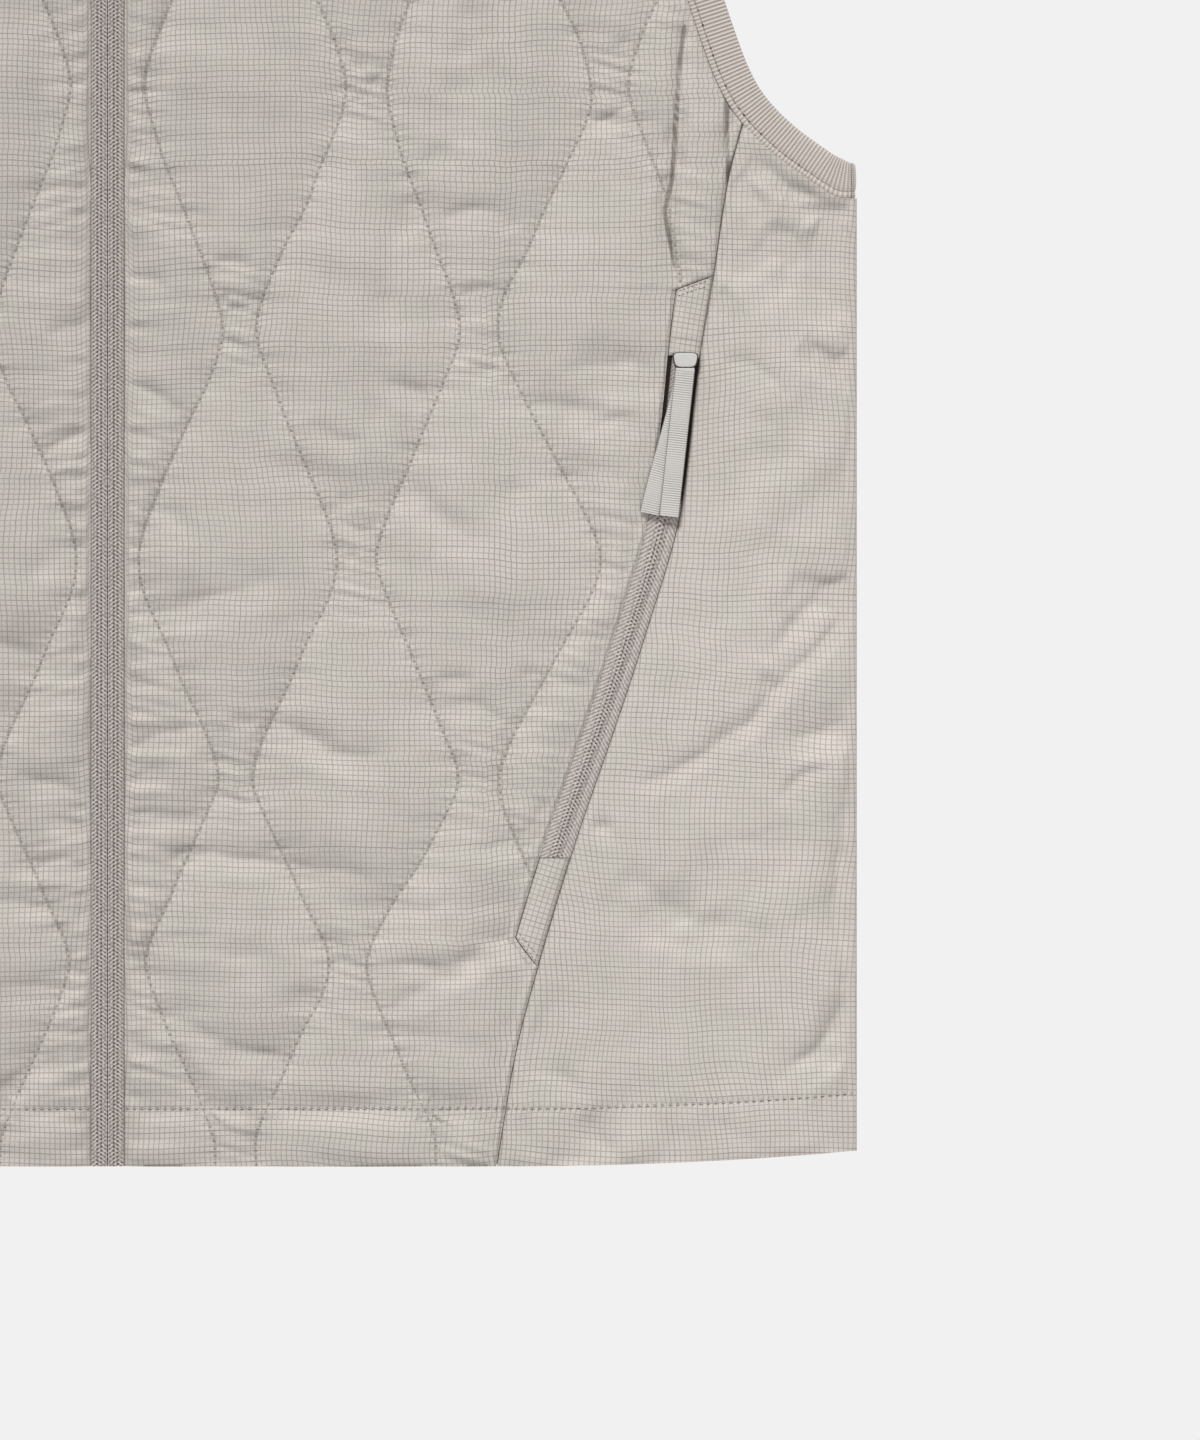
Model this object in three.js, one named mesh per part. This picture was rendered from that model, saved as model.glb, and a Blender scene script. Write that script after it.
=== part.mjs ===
// Quilted vest with a zipped front, laid flat on its back with the front side up.
// Sizes are millimetres. X runs from the centre front to the wearer's left, Y from the hem up to the
// neck, and Z up from the surface that the vest lies on. The origin ends below the middle of the vest.
import * as THREE from "three";

// Driving sizes of the body
const HALF_WIDTH = 292; // centre front to the side fold
const EDGE_X = 6.6; // centre front to the edge of a front panel
const SEAM_GAP = 0.3; // clearance between two pieces at a seam, and between two layers
const SHOULDER_SLOPE = THREE.MathUtils.degToRad(18);
const SHOULDER_NECK = { x: 101.3, y: 685.7 }; // where the neck seam meets the shoulder
const NECK_SEAM_FRONT = 586; // height of the neck seam at the centre front
const NECK_SEAM_BACK = 656; // height of the neck seam at the centre back
const HEM_LEVEL_X = 153; // the hem is level from the centre to here, then rises to the side fold
const HEM_RISE = 6.2;
const HEM_DEPTH = 22.5; // turned and stitched hem
const ROW_PITCH = 15;

// Driving sizes of the cloth
const BACK_WALL = 2;
const SIDE_WALL = 1.3;
const STITCH_WALL = 1.3; // quilted wall where a stitch line pulls it flat
const PUFF = 4.3; // how far the fullest channel rises above its stitch lines
const PUFF_WIDTH = 79; // width of the fullest channel
const FRONT_UNDER = BACK_WALL + SEAM_GAP; // underside of everything in the front layer
const SIDE_FOLD_RADIUS = 2.5;

// Driving sizes of the trims
const BINDING_WIDTH = 13.6;
const BINDING_WALL = 2;
const TAPE_WALL = 1.1;
const COIL_RISE = 0.6;
const POCKET_WIDTH = 11.7;
const POCKET_FLARE = 1.8; // extra width at the top of the pocket
const RIBBON_WIDTH = 7.6;
const RIBBON_WALL = 0.9;
const COIL_HALF_WIDTH = 2.2;

// The seam between front panel and side panel. The pocket lies along its left side.
const SIDE_SEAM = [
  { x: 151.5, y: 0 },
  { x: 159, y: 44.5 },
  { x: 167.7, y: 78 },
  { x: 182.1, y: 126 },
  { x: 197, y: 169.3 },
  { x: 211, y: 212.2 },
  { x: 222.7, y: 253.1 },
  { x: 230.5, y: 313.6 },
  { x: 236, y: 346.9 },
  { x: 241.8, y: 384.9 },
  { x: 247.4, y: 406.5 },
];

// The seam between cloth and binding round the armhole, from the side fold up to the shoulder
const ARMHOLE_SEAM = [
  { x: 289.5, y: 377.4 },
  { x: 283, y: 378.3 },
  { x: 271.5, y: 385.7 },
  { x: 259, y: 395 },
  { x: 247.4, y: 406.5 },
  { x: 239, y: 419.5 },
  { x: 231.5, y: 438.5 },
  { x: 220.5, y: 473 },
  { x: 209.5, y: 513 },
  { x: 202.3, y: 552 },
  { x: 199.5, y: 590 },
  { x: 202.5, y: 625 },
  { x: 210.5, y: 650.2 },
];
const SEAM_MEET = 4; // the row of ARMHOLE_SEAM where the side seam ends
const BACK_MEET = 3; // the row of ARMHOLE_SEAM where the seam between side panel and back panel ends
const BACK_SEAM_HEM_X = 215; // where that seam ends at the hem
const NECK_ROW = 9; // the row of ARMHOLE_SEAM that is level with the neck's front corner
const ARMHOLE_STEPS = 3; // steps between two rows of ARMHOLE_SEAM
const NECK_STEPS = (ARMHOLE_SEAM.length - 1 - NECK_ROW) * ARMHOLE_STEPS; // steps of the front neck

// Quilt lines wave from the hem to the shoulder. Odd and even ones swing against each other, and every
// turn height is where all of them are furthest to one side.
const QUILT_LINES = [
  { mean: 29.3, swing: 15 },
  { mean: 75.7, swing: -17.2 },
  { mean: 122.5, swing: 14 },
  { mean: 170.4, swing: -18.3 },
  { mean: 218, swing: 15.5 },
];
const TURN_HEIGHTS = [6, 78.4, 150.5, 236.3, 326, 419.6, 513, 606.5, 700];
const CHANNEL_STEPS = [0, 0.24, 0.5, 0.76]; // places of the mesh columns across one quilt channel

const COLUMN_CLEARANCE = 0.4; // between mesh columns whose stitch line has left the panel
const SWELL_POWER = 0.6; // how fast a channel's height grows with its width

// The pocket's pieces, as heights on the side seam. Its end seams slant from the outer to the inner height.
const POCKET = { seamLow: 78, tabLow: 89, zipLow: 120, zipHigh: 317.4, tabHigh: 341.6, seamHigh: 346.9 };
const POCKET_FLARE_START = 297;

// Soft folds on the side panel: a ridge from one end to the other, its half width and its height
const SIDE_FOLDS = [
  { x1: 248, y1: 391, x2: 289, y2: 376, spread: 7, rise: 0.9 },
  { x1: 292, y1: 234, x2: 214, y2: 140, spread: 16, rise: 1.6 },
  { x1: 292, y1: 172, x2: 236, y2: 126, spread: 14, rise: 1.5 },
  { x1: 292, y1: 120, x2: 222, y2: 66, spread: 13, rise: 1.3 },
  { x1: 243, y1: 347, x2: 276, y2: 356, spread: 10, rise: 1.1 },
];

const lerp = THREE.MathUtils.lerp;
const point = (x, y, z) => new THREE.Vector3(x, y, z);
const evenShares = (steps) => Array.from({ length: steps + 1 }, (_, k) => k / steps);

// The value of a table's column at a place in another column, on a smooth line through the rows
function along(table, from, to, place) {
  let i = 0;
  while (i < table.length - 2 && place > table[i + 1][from]) i += 1;
  const slope = (k) => {
    const before = table[Math.max(k - 1, 0)];
    const after = table[Math.min(k + 1, table.length - 1)];
    return (after[to] - before[to]) / (after[from] - before[from]);
  };
  const span = table[i + 1][from] - table[i][from];
  const t = (place - table[i][from]) / span;
  const bend = t * t * (3 - 2 * t);
  return (
    lerp(table[i][to], table[i + 1][to], bend) +
    span * slope(i) * t * (1 - t) * (1 - t) -
    span * slope(i + 1) * t * t * (1 - t)
  );
}

const sideSeamX = (y) => along(SIDE_SEAM, "y", "x", y);

// The left edge of the pocket, which is the front panel's edge there
function pocketX(y) {
  const flare = THREE.MathUtils.smoothstep(y, POCKET_FLARE_START, POCKET.seamHigh);
  return sideSeamX(y) - POCKET_WIDTH - POCKET_FLARE * flare;
}

// Hem height: level, then rising with the square of the distance to the side
const hemY = (x) => HEM_RISE * Math.max(0, (x - HEM_LEVEL_X) / (HALF_WIDTH - HEM_LEVEL_X)) ** 2;

const armholeCurve = new THREE.CatmullRomCurve3(
  ARMHOLE_SEAM.map((row) => point(row.x, row.y, 0)),
  false,
  "catmullrom",
);
const armholeAt = (row) => armholeCurve.getPoint(row / (ARMHOLE_SEAM.length - 1));

// The shoulder's own directions: along its seam away from the neck, and across it away from the hem
const ALONG_SHOULDER = point(Math.cos(SHOULDER_SLOPE), -Math.sin(SHOULDER_SLOPE), 0);
const OVER_SHOULDER = point(Math.sin(SHOULDER_SLOPE), Math.cos(SHOULDER_SLOPE), 0);

// A neck seam from the centre to the shoulder: level at the centre, square to the shoulder at its end
function neckCurve(startX, startY, levelReach, shoulderReach) {
  const end = point(SHOULDER_NECK.x, SHOULDER_NECK.y, 0);
  return new THREE.CubicBezierCurve3(
    point(startX, startY, 0),
    point(startX + levelReach, startY, 0),
    end.clone().addScaledVector(OVER_SHOULDER, -shoulderReach),
    end,
  );
}
const frontNeck = neckCurve(EDGE_X, NECK_SEAM_FRONT, 44, 54);
const backNeck = neckCurve(0, NECK_SEAM_BACK, 58, 15);

// A closed surface from points and triangles, turned so that its faces point out
function closedSurface(points, triangles) {
  let volume = 0;
  for (const [a, b, c] of triangles) {
    volume += points[a].dot(points[b].clone().cross(points[c]));
  }
  const facing = volume < 0 ? triangles.map(([a, b, c]) => [a, c, b]) : triangles;
  const geometry = new THREE.BufferGeometry().setFromPoints(points);
  geometry.setIndex(facing.flat());
  geometry.computeVertexNormals();
  return geometry;
}

// A body through rings of equal length. With the faces of a cap it is closed at both ends, else it
// joins its last ring to its first.
function loft(rings, cap) {
  const count = rings[0].length;
  const triangles = [];
  const last = cap ? rings.length - 1 : rings.length;
  for (let i = 0; i < last; i += 1) {
    for (let j = 0; j < count; j += 1) {
      const near = i * count;
      const far = ((i + 1) % rings.length) * count;
      const next = (j + 1) % count;
      triangles.push([near + j, far + j, far + next], [near + j, far + next, near + next]);
    }
  }
  const end = (rings.length - 1) * count;
  for (const [a, b, c] of cap ?? []) triangles.push([a, b, c], [end + a, end + c, end + b]);
  return closedSurface(rings.flat(), triangles);
}

// The faces of a cap on a flat outline
function flatCap(outline) {
  return THREE.ShapeUtils.triangulateShape(outline, []).map(([a, b, c]) => {
    const turn = outline[b].clone().sub(outline[a]).cross(outline[c].clone().sub(outline[a]));
    const around = THREE.ShapeUtils.isClockWise(outline) ? -1 : 1;
    return turn * around > 0 ? [a, b, c] : [a, c, b];
  });
}

// The faces of a cap on the section of a bent wall, whose ring runs along one side and back along the
// other with as many points
function wallCap(count) {
  const faces = [];
  for (let i = 0; i < count / 2 - 1; i += 1) {
    faces.push([i, i + 1, count - 2 - i], [i, count - 2 - i, count - 1 - i]);
  }
  return faces;
}

// Heights of the front panel's level rows, with a row at each height that another piece meets
function levelRows() {
  const marks = [0, HEM_DEPTH, ...Object.values(POCKET), SIDE_SEAM.at(-1).y];
  const heights = [0];
  for (let i = 1; i < marks.length; i += 1) {
    const steps = Math.ceil((marks[i] - marks[i - 1]) / ROW_PITCH);
    for (let k = 1; k <= steps; k += 1) heights.push(lerp(marks[i - 1], marks[i], k / steps));
  }
  return heights;
}
const LEVEL_ROWS = levelRows();

// The front panel's edge towards the side: the seam, which steps back round the pocket
function frontSideX(y) {
  const inPocket = y > POCKET.seamLow && y < POCKET.seamHigh;
  return inPocket ? pocketX(y) - SEAM_GAP : sideSeamX(y);
}

// Both ends of every mesh row of the left front panel, from the hem to the shoulder
function frontRowEnds() {
  const ends = LEVEL_ROWS.map((y) => ({ left: point(EDGE_X, y, 0), right: point(frontSideX(y), y, 0) }));
  const top = ARMHOLE_SEAM.length - 1;
  for (let k = SEAM_MEET * ARMHOLE_STEPS + 1; k <= top * ARMHOLE_STEPS; k += 1) {
    const row = k / ARMHOLE_STEPS;
    const right = armholeAt(row);
    const neckPart = (row - NECK_ROW) / (top - NECK_ROW);
    const startY = SIDE_SEAM.at(-1).y;
    const rise = (right.y - startY) / (ARMHOLE_SEAM[NECK_ROW].y - startY);
    const onEdge = point(EDGE_X, lerp(startY, NECK_SEAM_FRONT, Math.min(rise, 1)), 0);
    ends.push({ left: neckPart > 0 ? frontNeck.getPoint(neckPart) : onEdge, right });
  }
  return ends;
}

// How many turns of the quilt waves lie below a height
function turnsBelow(y) {
  let i = 0;
  while (i < TURN_HEIGHTS.length - 2 && y > TURN_HEIGHTS[i + 1]) i += 1;
  return i + (y - TURN_HEIGHTS[i]) / (TURN_HEIGHTS[i + 1] - TURN_HEIGHTS[i]);
}

const quiltX = (line, y) => line.mean + line.swing * Math.cos(Math.PI * turnsBelow(y));

// Where the stitch lines cross one row, its two ends included. A line that has left the panel stays
// beside the end that it crossed.
function stitchPlaces(left, right) {
  const beside = COLUMN_CLEARANCE * CHANNEL_STEPS.length;
  const places = [left.x];
  QUILT_LINES.forEach((line, i) => {
    const guess = quiltX(line, (left.y + right.y) / 2);
    const share = (guess - left.x) / (right.x - left.x);
    const x = quiltX(line, lerp(left.y, right.y, THREE.MathUtils.clamp(share, 0, 1)));
    const least = left.x + beside * (i + 1);
    const most = right.x - beside * (QUILT_LINES.length - i);
    places.push(THREE.MathUtils.clamp(x, least, most));
  });
  places.push(right.x);
  return places;
}

// How full the quilting is at a row: pulled flat at the hem's edge, its stitching and the shoulder
function fullness(y, rowShare) {
  const nearStitch = Math.exp(-(((y - HEM_DEPTH) / 5) ** 2));
  const atEdge = THREE.MathUtils.smoothstep(y, -6, 12);
  const atShoulder = 1 - THREE.MathUtils.smoothstep(rowShare, 0.97, 1.005);
  return (1 - 0.6 * nearStitch) * atEdge * atShoulder;
}

// A quilted front panel: channels swell between stitch lines over a plain flat inside
function frontPanel() {
  const ends = frontRowEnds();
  const rows = ends.map(({ left, right }, i) => {
    const places = stitchPlaces(left, right);
    const row = [];
    for (let c = 0; c < places.length - 1; c += 1) {
      const width = places[c + 1] - places[c];
      const swell = PUFF * Math.min(1, width / PUFF_WIDTH) ** SWELL_POWER;
      for (const step of CHANNEL_STEPS) {
        const x = lerp(places[c], places[c + 1], step);
        const y = lerp(left.y, right.y, (x - left.x) / (right.x - left.x));
        const puff = swell * Math.sin(Math.PI * step) ** 0.8 * fullness(y, i / (ends.length - 1));
        row.push(point(x, y, FRONT_UNDER + STITCH_WALL + puff));
      }
    }
    row.push(point(right.x, right.y, FRONT_UNDER + STITCH_WALL));
    return row;
  });
  return raisedPanel(rows, FRONT_UNDER);
}

// A closed body with a shaped top, given as rows of points, over one flat underside. Every row lies on
// a straight line in plan. The underside has the rim's points alone.
function raisedPanel(rows, under) {
  const width = rows[0].length;
  const last = rows.length - 1;
  const points = rows.flat();
  const triangles = [];
  const at = (i, j) => i * width + j;
  for (let i = 0; i < last; i += 1) {
    for (let j = 0; j < width - 1; j += 1) {
      triangles.push([at(i, j), at(i, j + 1), at(i + 1, j + 1)]);
      triangles.push([at(i, j), at(i + 1, j + 1), at(i + 1, j)]);
    }
  }
  const rim = [];
  for (let j = 0; j < width - 1; j += 1) rim.push(at(0, j));
  for (let i = 0; i < last; i += 1) rim.push(at(i, width - 1));
  for (let j = width - 1; j > 0; j -= 1) rim.push(at(last, j));
  for (let i = last; i > 0; i -= 1) rim.push(at(i, 0));
  const below = new Map();
  for (const k of rim) below.set(k, points.push(point(points[k].x, points[k].y, under)) - 1);
  rim.forEach((k, n) => {
    const next = rim[(n + 1) % rim.length];
    triangles.push([k, below.get(k), below.get(next)], [k, below.get(next), next]);
  });

  // Underside: fans on the first and last row, and a pair of long faces between the rows' ends
  const face = (...corners) => triangles.push(corners.map((k) => below.get(k)));
  const middle = Math.floor(width / 2);
  const fan = (i, next) => {
    const [left, right] = [at(next, 0), at(next, width - 1)];
    for (let j = 0; j < width - 1; j += 1) {
      const corner = j < middle ? left : right;
      if (i < next) face(at(i, j), corner, at(i, j + 1));
      else face(at(i, j + 1), corner, at(i, j));
    }
    if (i < next) face(at(i, middle), left, right);
    else face(at(i, middle), right, left);
  };
  fan(0, 1);
  for (let i = 1; i < last - 1; i += 1) {
    face(at(i, 0), at(i + 1, width - 1), at(i, width - 1));
    face(at(i, 0), at(i + 1, 0), at(i + 1, width - 1));
  }
  fan(last, last - 1);
  return closedSurface(points, triangles);
}

// Height that the side panel's soft folds add at a place. Each is a bell across, faded at its ends.
function foldRise(x, y) {
  let rise = 0;
  for (const fold of SIDE_FOLDS) {
    const run = new THREE.Vector2(fold.x2 - fold.x1, fold.y2 - fold.y1);
    const length = run.length();
    const way = run.divideScalar(length);
    const out = new THREE.Vector2(x - fold.x1, y - fold.y1);
    const place = THREE.MathUtils.clamp(out.dot(way), 0, length);
    const away = out.addScaledVector(way, -place).length();
    const fade = Math.sin(Math.PI * lerp(0.2, 0.92, place / length));
    rise += fold.rise * fade * Math.exp(-((away / fold.spread) ** 2));
  }
  return rise;
}

// Columns of one layer of the side panel, from the side fold to the seam that ends at the given row of
// the armhole. Each holds its share of the way to the seam, and its heights at the hem and the armhole.
function sideColumns(meetRow, hemSeamX, steps) {
  const foldX = ARMHOLE_SEAM[0].x;
  const seamX = ARMHOLE_SEAM[meetRow].x;
  return evenShares(steps).map((step) => {
    const top = armholeAt(meetRow * step);
    const share = (foldX - top.x) / (foldX - seamX);
    return { share, hemY: hemY(lerp(foldX, hemSeamX, share)), topY: top.y - SEAM_GAP / 2 };
  });
}

// Place of the seam between side panel and back panel, at a share of the way up it
function backSeamAt(up) {
  const column = sideColumns(BACK_MEET, BACK_SEAM_HEM_X, 1)[1];
  const x = lerp(BACK_SEAM_HEM_X, ARMHOLE_SEAM[BACK_MEET].x, up);
  return { x, y: lerp(column.hemY, column.topY, up) };
}

// The left side panel: one wall that lies on the front, turns round the side fold and lies under it.
// Each ring is its section at one height, outer side first.
function sidePanel() {
  const foldX = HALF_WIDTH - SIDE_FOLD_RADIUS;
  const frontColumns = sideColumns(SEAM_MEET, SIDE_SEAM[0].x, 8).reverse();
  const backColumns = sideColumns(BACK_MEET, BACK_SEAM_HEM_X, 3);
  const swell = 2 * SIDE_FOLD_RADIUS - FRONT_UNDER - SIDE_WALL;

  const ringAt = (y0) => {
    const up = y0 / SIDE_SEAM.at(-1).y;
    const front = (column, lift, folded) => {
      const x = lerp(foldX, sideSeamX(y0) + SEAM_GAP, column.share);
      const y = lerp(column.hemY, column.topY, up);
      const z = FRONT_UNDER + lift + swell * (1 - column.share) ** 2;
      const fade = Math.sin(Math.PI * column.share) ** 0.5;
      return point(x, y, folded ? z + foldRise(x, y) * fade : z);
    };
    const round = (turn, radius) => {
      const angle = Math.PI * turn;
      const z = SIDE_FOLD_RADIUS + radius * Math.cos(angle);
      const y = lerp(backColumns[0].hemY, backColumns[0].topY, up);
      return point(foldX + radius * Math.sin(angle), y, z);
    };
    const back = (column, z) => {
      const x = lerp(foldX, backSeamAt(up).x, column.share);
      return point(x, lerp(column.hemY, column.topY, up), z);
    };
    return [
      ...frontColumns.map((column) => front(column, SIDE_WALL, true)),
      ...[0.25, 0.5, 0.75].map((turn) => round(turn, SIDE_FOLD_RADIUS)),
      ...backColumns.map((column) => back(column, 0)),
      ...[...backColumns].reverse().map((column) => back(column, SIDE_WALL)),
      ...[0.75, 0.5, 0.25].map((turn) => round(turn, SIDE_FOLD_RADIUS - SIDE_WALL)),
      ...[...frontColumns].reverse().map((column) => front(column, 0, false)),
    ];
  };
  const rings = LEVEL_ROWS.map(ringAt);
  return loft(rings, wallCap(rings[0].length));
}

// Plan of the back panel's left edge, from the hem to the neck's centre
function backOutlineHalf() {
  const flat = (p, shift = 0) => new THREE.Vector2(p.x + shift, p.y);
  const outline = LEVEL_ROWS.map((y0) => flat(backSeamAt(y0 / SIDE_SEAM.at(-1).y), -SEAM_GAP));
  for (let k = BACK_MEET * ARMHOLE_STEPS + 1; k <= (ARMHOLE_SEAM.length - 1) * ARMHOLE_STEPS; k += 1) {
    outline.push(flat(armholeAt(k / ARMHOLE_STEPS)));
  }
  const neckSteps = 10;
  for (let k = neckSteps; k > 0; k -= 1) outline.push(flat(backNeck.getPoint(k / neckSteps)));
  return outline;
}

function backPanel() {
  const left = backOutlineHalf();
  const right = left.map((p) => new THREE.Vector2(-p.x, p.y)).reverse();
  const outline = [new THREE.Vector2(0, 0), ...left, backNeck.getPoint(0), ...right];
  return new THREE.ExtrudeGeometry(new THREE.Shape(outline), { depth: BACK_WALL, bevelEnabled: false });
}

// Section of a folded binding: across it, and through it. Its free edge is rounder than its sewn one.
const BINDING_SECTION = [
  { across: 0, through: -0.5 },
  { across: 0.95, through: -0.5 },
  { across: 1, through: -0.2 },
  { across: 1, through: 0.2 },
  { across: 0.95, through: 0.5 },
  { across: 0.04, through: 0.5 },
  { across: 0, through: 0.25 },
].map((p) => new THREE.Vector2(p.across * BINDING_WIDTH, p.through * BINDING_WALL));

// One ring of a binding: where its sewn edge is, which way its free edge lies, and which way is out
function bindingRing(sewn, acrossWay, outWay) {
  return BINDING_SECTION.map((p) =>
    sewn.clone().addScaledVector(acrossWay, SEAM_GAP + p.x).addScaledVector(outWay, p.y),
  );
}

const BINDING_FRONT_Z = FRONT_UNDER + BINDING_WALL / 2;
const BINDING_BACK_Z = BINDING_WALL / 2;
const UP = point(0, 0, 1);
const DOWN = point(0, 0, -1);

// Rings round a fold, where the band passes from the front layer to the back layer or the other way
function foldRings(sewn, acrossWay, overWay, toBack) {
  const middle = (BINDING_FRONT_Z + BINDING_BACK_Z) / 2;
  const radius = (BINDING_FRONT_Z - BINDING_BACK_Z) / 2;
  const turns = [0.2, 0.4, 0.6, 0.8].map((turn) => (toBack ? turn : 1 - turn) * Math.PI);
  return turns.map((angle) => {
    const outWay = overWay.clone().multiplyScalar(Math.sin(angle)).addScaledVector(UP, Math.cos(angle));
    const centre = point(sewn.x, sewn.y, middle).addScaledVector(outWay, radius);
    return bindingRing(centre, acrossWay, outWay);
  });
}

// Rings along a plan curve in one layer. The free edge lies to the given side of the way along it.
function layerRings(curve, shares, side, z, outWay) {
  return shares.map((share) => {
    const way = curve.getTangent(share);
    const p = curve.getPoint(share);
    const acrossWay = point(way.y, -way.x, 0).multiplyScalar(side);
    return bindingRing(point(p.x, p.y, z), acrossWay, outWay);
  });
}

// The left armhole's binding: up the front, over the shoulder, down the back and round the side fold
function armholeBinding() {
  const steps = (ARMHOLE_SEAM.length - 1) * ARMHOLE_STEPS;
  const shares = evenShares(steps);
  const side = armholeAt(0);
  const shoulder = armholeCurve.getPoint(1);
  return loft([
    ...layerRings(armholeCurve, shares, 1, BINDING_FRONT_Z, UP),
    ...foldRings(shoulder, ALONG_SHOULDER, OVER_SHOULDER, true),
    ...layerRings(armholeCurve, [...shares].reverse(), 1, BINDING_BACK_Z, DOWN),
    ...foldRings(side, point(0, 1, 0), point(1, 0, 0), false),
  ]);
}

// The neck's binding, from the left front edge round the back of the neck to the right front edge
function neckBinding() {
  const shoulder = frontNeck.getPoint(1);
  const toNeck = ALONG_SHOULDER.clone().negate();
  const leftHalf = [
    ...layerRings(frontNeck, evenShares(NECK_STEPS), -1, BINDING_FRONT_Z, UP),
    ...foldRings(shoulder, toNeck, OVER_SHOULDER, true),
    ...layerRings(backNeck, evenShares(10).reverse(), -1, BINDING_BACK_Z, DOWN),
  ];
  const mirrored = (ring) => ring.map((p) => point(-p.x, p.y, p.z));
  const rightHalf = leftHalf.slice(0, -1).reverse().map(mirrored);
  return loft([...leftHalf, ...rightHalf], flatCap(BINDING_SECTION));
}

// One tape of the front zip with its half of the coil, as a section carried up the front
function frontZipTape() {
  const halfGap = SEAM_GAP / 2;
  const top = FRONT_UNDER + TAPE_WALL;
  const section = new THREE.Shape([
    new THREE.Vector2(halfGap, FRONT_UNDER),
    new THREE.Vector2(EDGE_X - SEAM_GAP, FRONT_UNDER),
    new THREE.Vector2(EDGE_X - SEAM_GAP, top),
    new THREE.Vector2(halfGap + COIL_HALF_WIDTH, top),
    new THREE.Vector2(halfGap + COIL_HALF_WIDTH * 0.75, top + COIL_RISE),
    new THREE.Vector2(halfGap, top + COIL_RISE),
  ]);
  const length = NECK_SEAM_FRONT + BINDING_WIDTH - 1;
  const tape = new THREE.ExtrudeGeometry(section, { depth: length, bevelEnabled: false });
  return tape.rotateX(Math.PI / 2).translate(0, length, 0);
}

// A strip that fills part of the pocket, between two heights. Its section runs from the front panel's
// side to the seam, each row of it a share across and a height above the strip's underside.
function pocketStrip(low, high, section) {
  const inside = LEVEL_ROWS.filter((y) => y > low + 1 && y < high - 1);
  const rings = [low, ...inside, high].map((y) => {
    const left = pocketX(y);
    const right = sideSeamX(y) - SEAM_GAP / 2;
    return section.map((p) => point(lerp(left, right, p.across), y, FRONT_UNDER + p.rise));
  });
  return loft(rings, flatCap(section.map((p) => new THREE.Vector2(p.across, p.rise))));
}

const ZIP_SECTION = [
  { across: 0, rise: 0 },
  { across: 1, rise: 0 },
  { across: 1, rise: TAPE_WALL },
  { across: 0.66, rise: TAPE_WALL },
  { across: 0.6, rise: TAPE_WALL + COIL_RISE },
  { across: 0.4, rise: TAPE_WALL + COIL_RISE },
  { across: 0.34, rise: TAPE_WALL },
  { across: 0, rise: TAPE_WALL },
];

const TAB_SECTION = [
  { across: 0, rise: 0 },
  { across: 1, rise: 0 },
  { across: 1, rise: STITCH_WALL },
  { across: 0.8, rise: STITCH_WALL + 0.6 },
  { across: 0.5, rise: STITCH_WALL + 0.9 },
  { across: 0.2, rise: STITCH_WALL + 0.6 },
  { across: 0, rise: STITCH_WALL },
];

const pocketZip = () => pocketStrip(POCKET.zipLow + SEAM_GAP, POCKET.zipHigh, ZIP_SECTION);
const pocketUpperTab = () => pocketStrip(POCKET.zipHigh + SEAM_GAP, POCKET.tabHigh, TAB_SECTION);
const pocketLowerTab = () => pocketStrip(POCKET.tabLow, POCKET.zipLow, TAB_SECTION);

// A zip slider seen from above: broad shoulders at the top, narrower at its tail, with soft edges
function slider({ x, y, width, length }) {
  const outline = new THREE.Shape();
  outline.moveTo(-0.38 * width, -0.5 * length);
  outline.lineTo(0.38 * width, -0.5 * length);
  outline.lineTo(0.5 * width, 0.2 * length);
  outline.quadraticCurveTo(0.48 * width, 0.5 * length, 0.2 * width, 0.5 * length);
  outline.lineTo(-0.2 * width, 0.5 * length);
  outline.quadraticCurveTo(-0.48 * width, 0.5 * length, -0.5 * width, 0.2 * length);
  outline.closePath();
  const soft = 0.4;
  return new THREE.ExtrudeGeometry(outline, {
    depth: SLIDER_HEIGHT - 2 * soft,
    bevelThickness: soft,
    bevelSize: soft,
    bevelOffset: -soft,
    bevelSegments: 2,
    curveSegments: 4,
  }).translate(x, y, SLIDER_Z + soft);
}

// A ribbon folded in two at its top. Each leg is a table of places down its middle.
function foldedRibbon(lowerLeg, upperLeg, lowerZ) {
  const upperZ = lowerZ + RIBBON_WALL + SEAM_GAP;
  const corners = [
    [-0.5, -0.5],
    [0.5, -0.5],
    [0.5, 0.5],
    [-0.5, 0.5],
  ];
  const ring = (centre, width, out) =>
    corners.map(([across, through]) =>
      centre
        .clone()
        .addScaledVector(width, across * RIBBON_WIDTH)
        .addScaledVector(out, through * RIBBON_WALL),
    );
  // Width direction at a place on a leg: square to the way down the leg
  const widthAt = (leg, k) => {
    const before = leg[Math.max(k - 1, 0)];
    const after = leg[Math.min(k + 1, leg.length - 1)];
    return point(before.y - after.y, after.x - before.x, 0).normalize();
  };
  const lower = lowerLeg.map((p, k) => ring(point(p.x, p.y, lowerZ), widthAt(lowerLeg, k), UP)).reverse();
  const upper = upperLeg.map((p, k) => ring(point(p.x, p.y, upperZ), widthAt(upperLeg, k), DOWN));
  const middle = (lowerZ + upperZ) / 2;
  const radius = (upperZ - lowerZ) / 2;
  const turn = [0.25, 0.5, 0.75].map((share) => {
    const angle = Math.PI * share;
    const out = point(0, -Math.sin(angle), Math.cos(angle));
    const centre = point(upperLeg[0].x, upperLeg[0].y, middle).addScaledVector(out, -radius);
    return ring(centre, point(1, 0, 0), out);
  });
  const outline = corners.map(([across, through]) => new THREE.Vector2(across, through));
  return loft([...lower, ...turn, ...upper], flatCap(outline));
}

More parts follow.
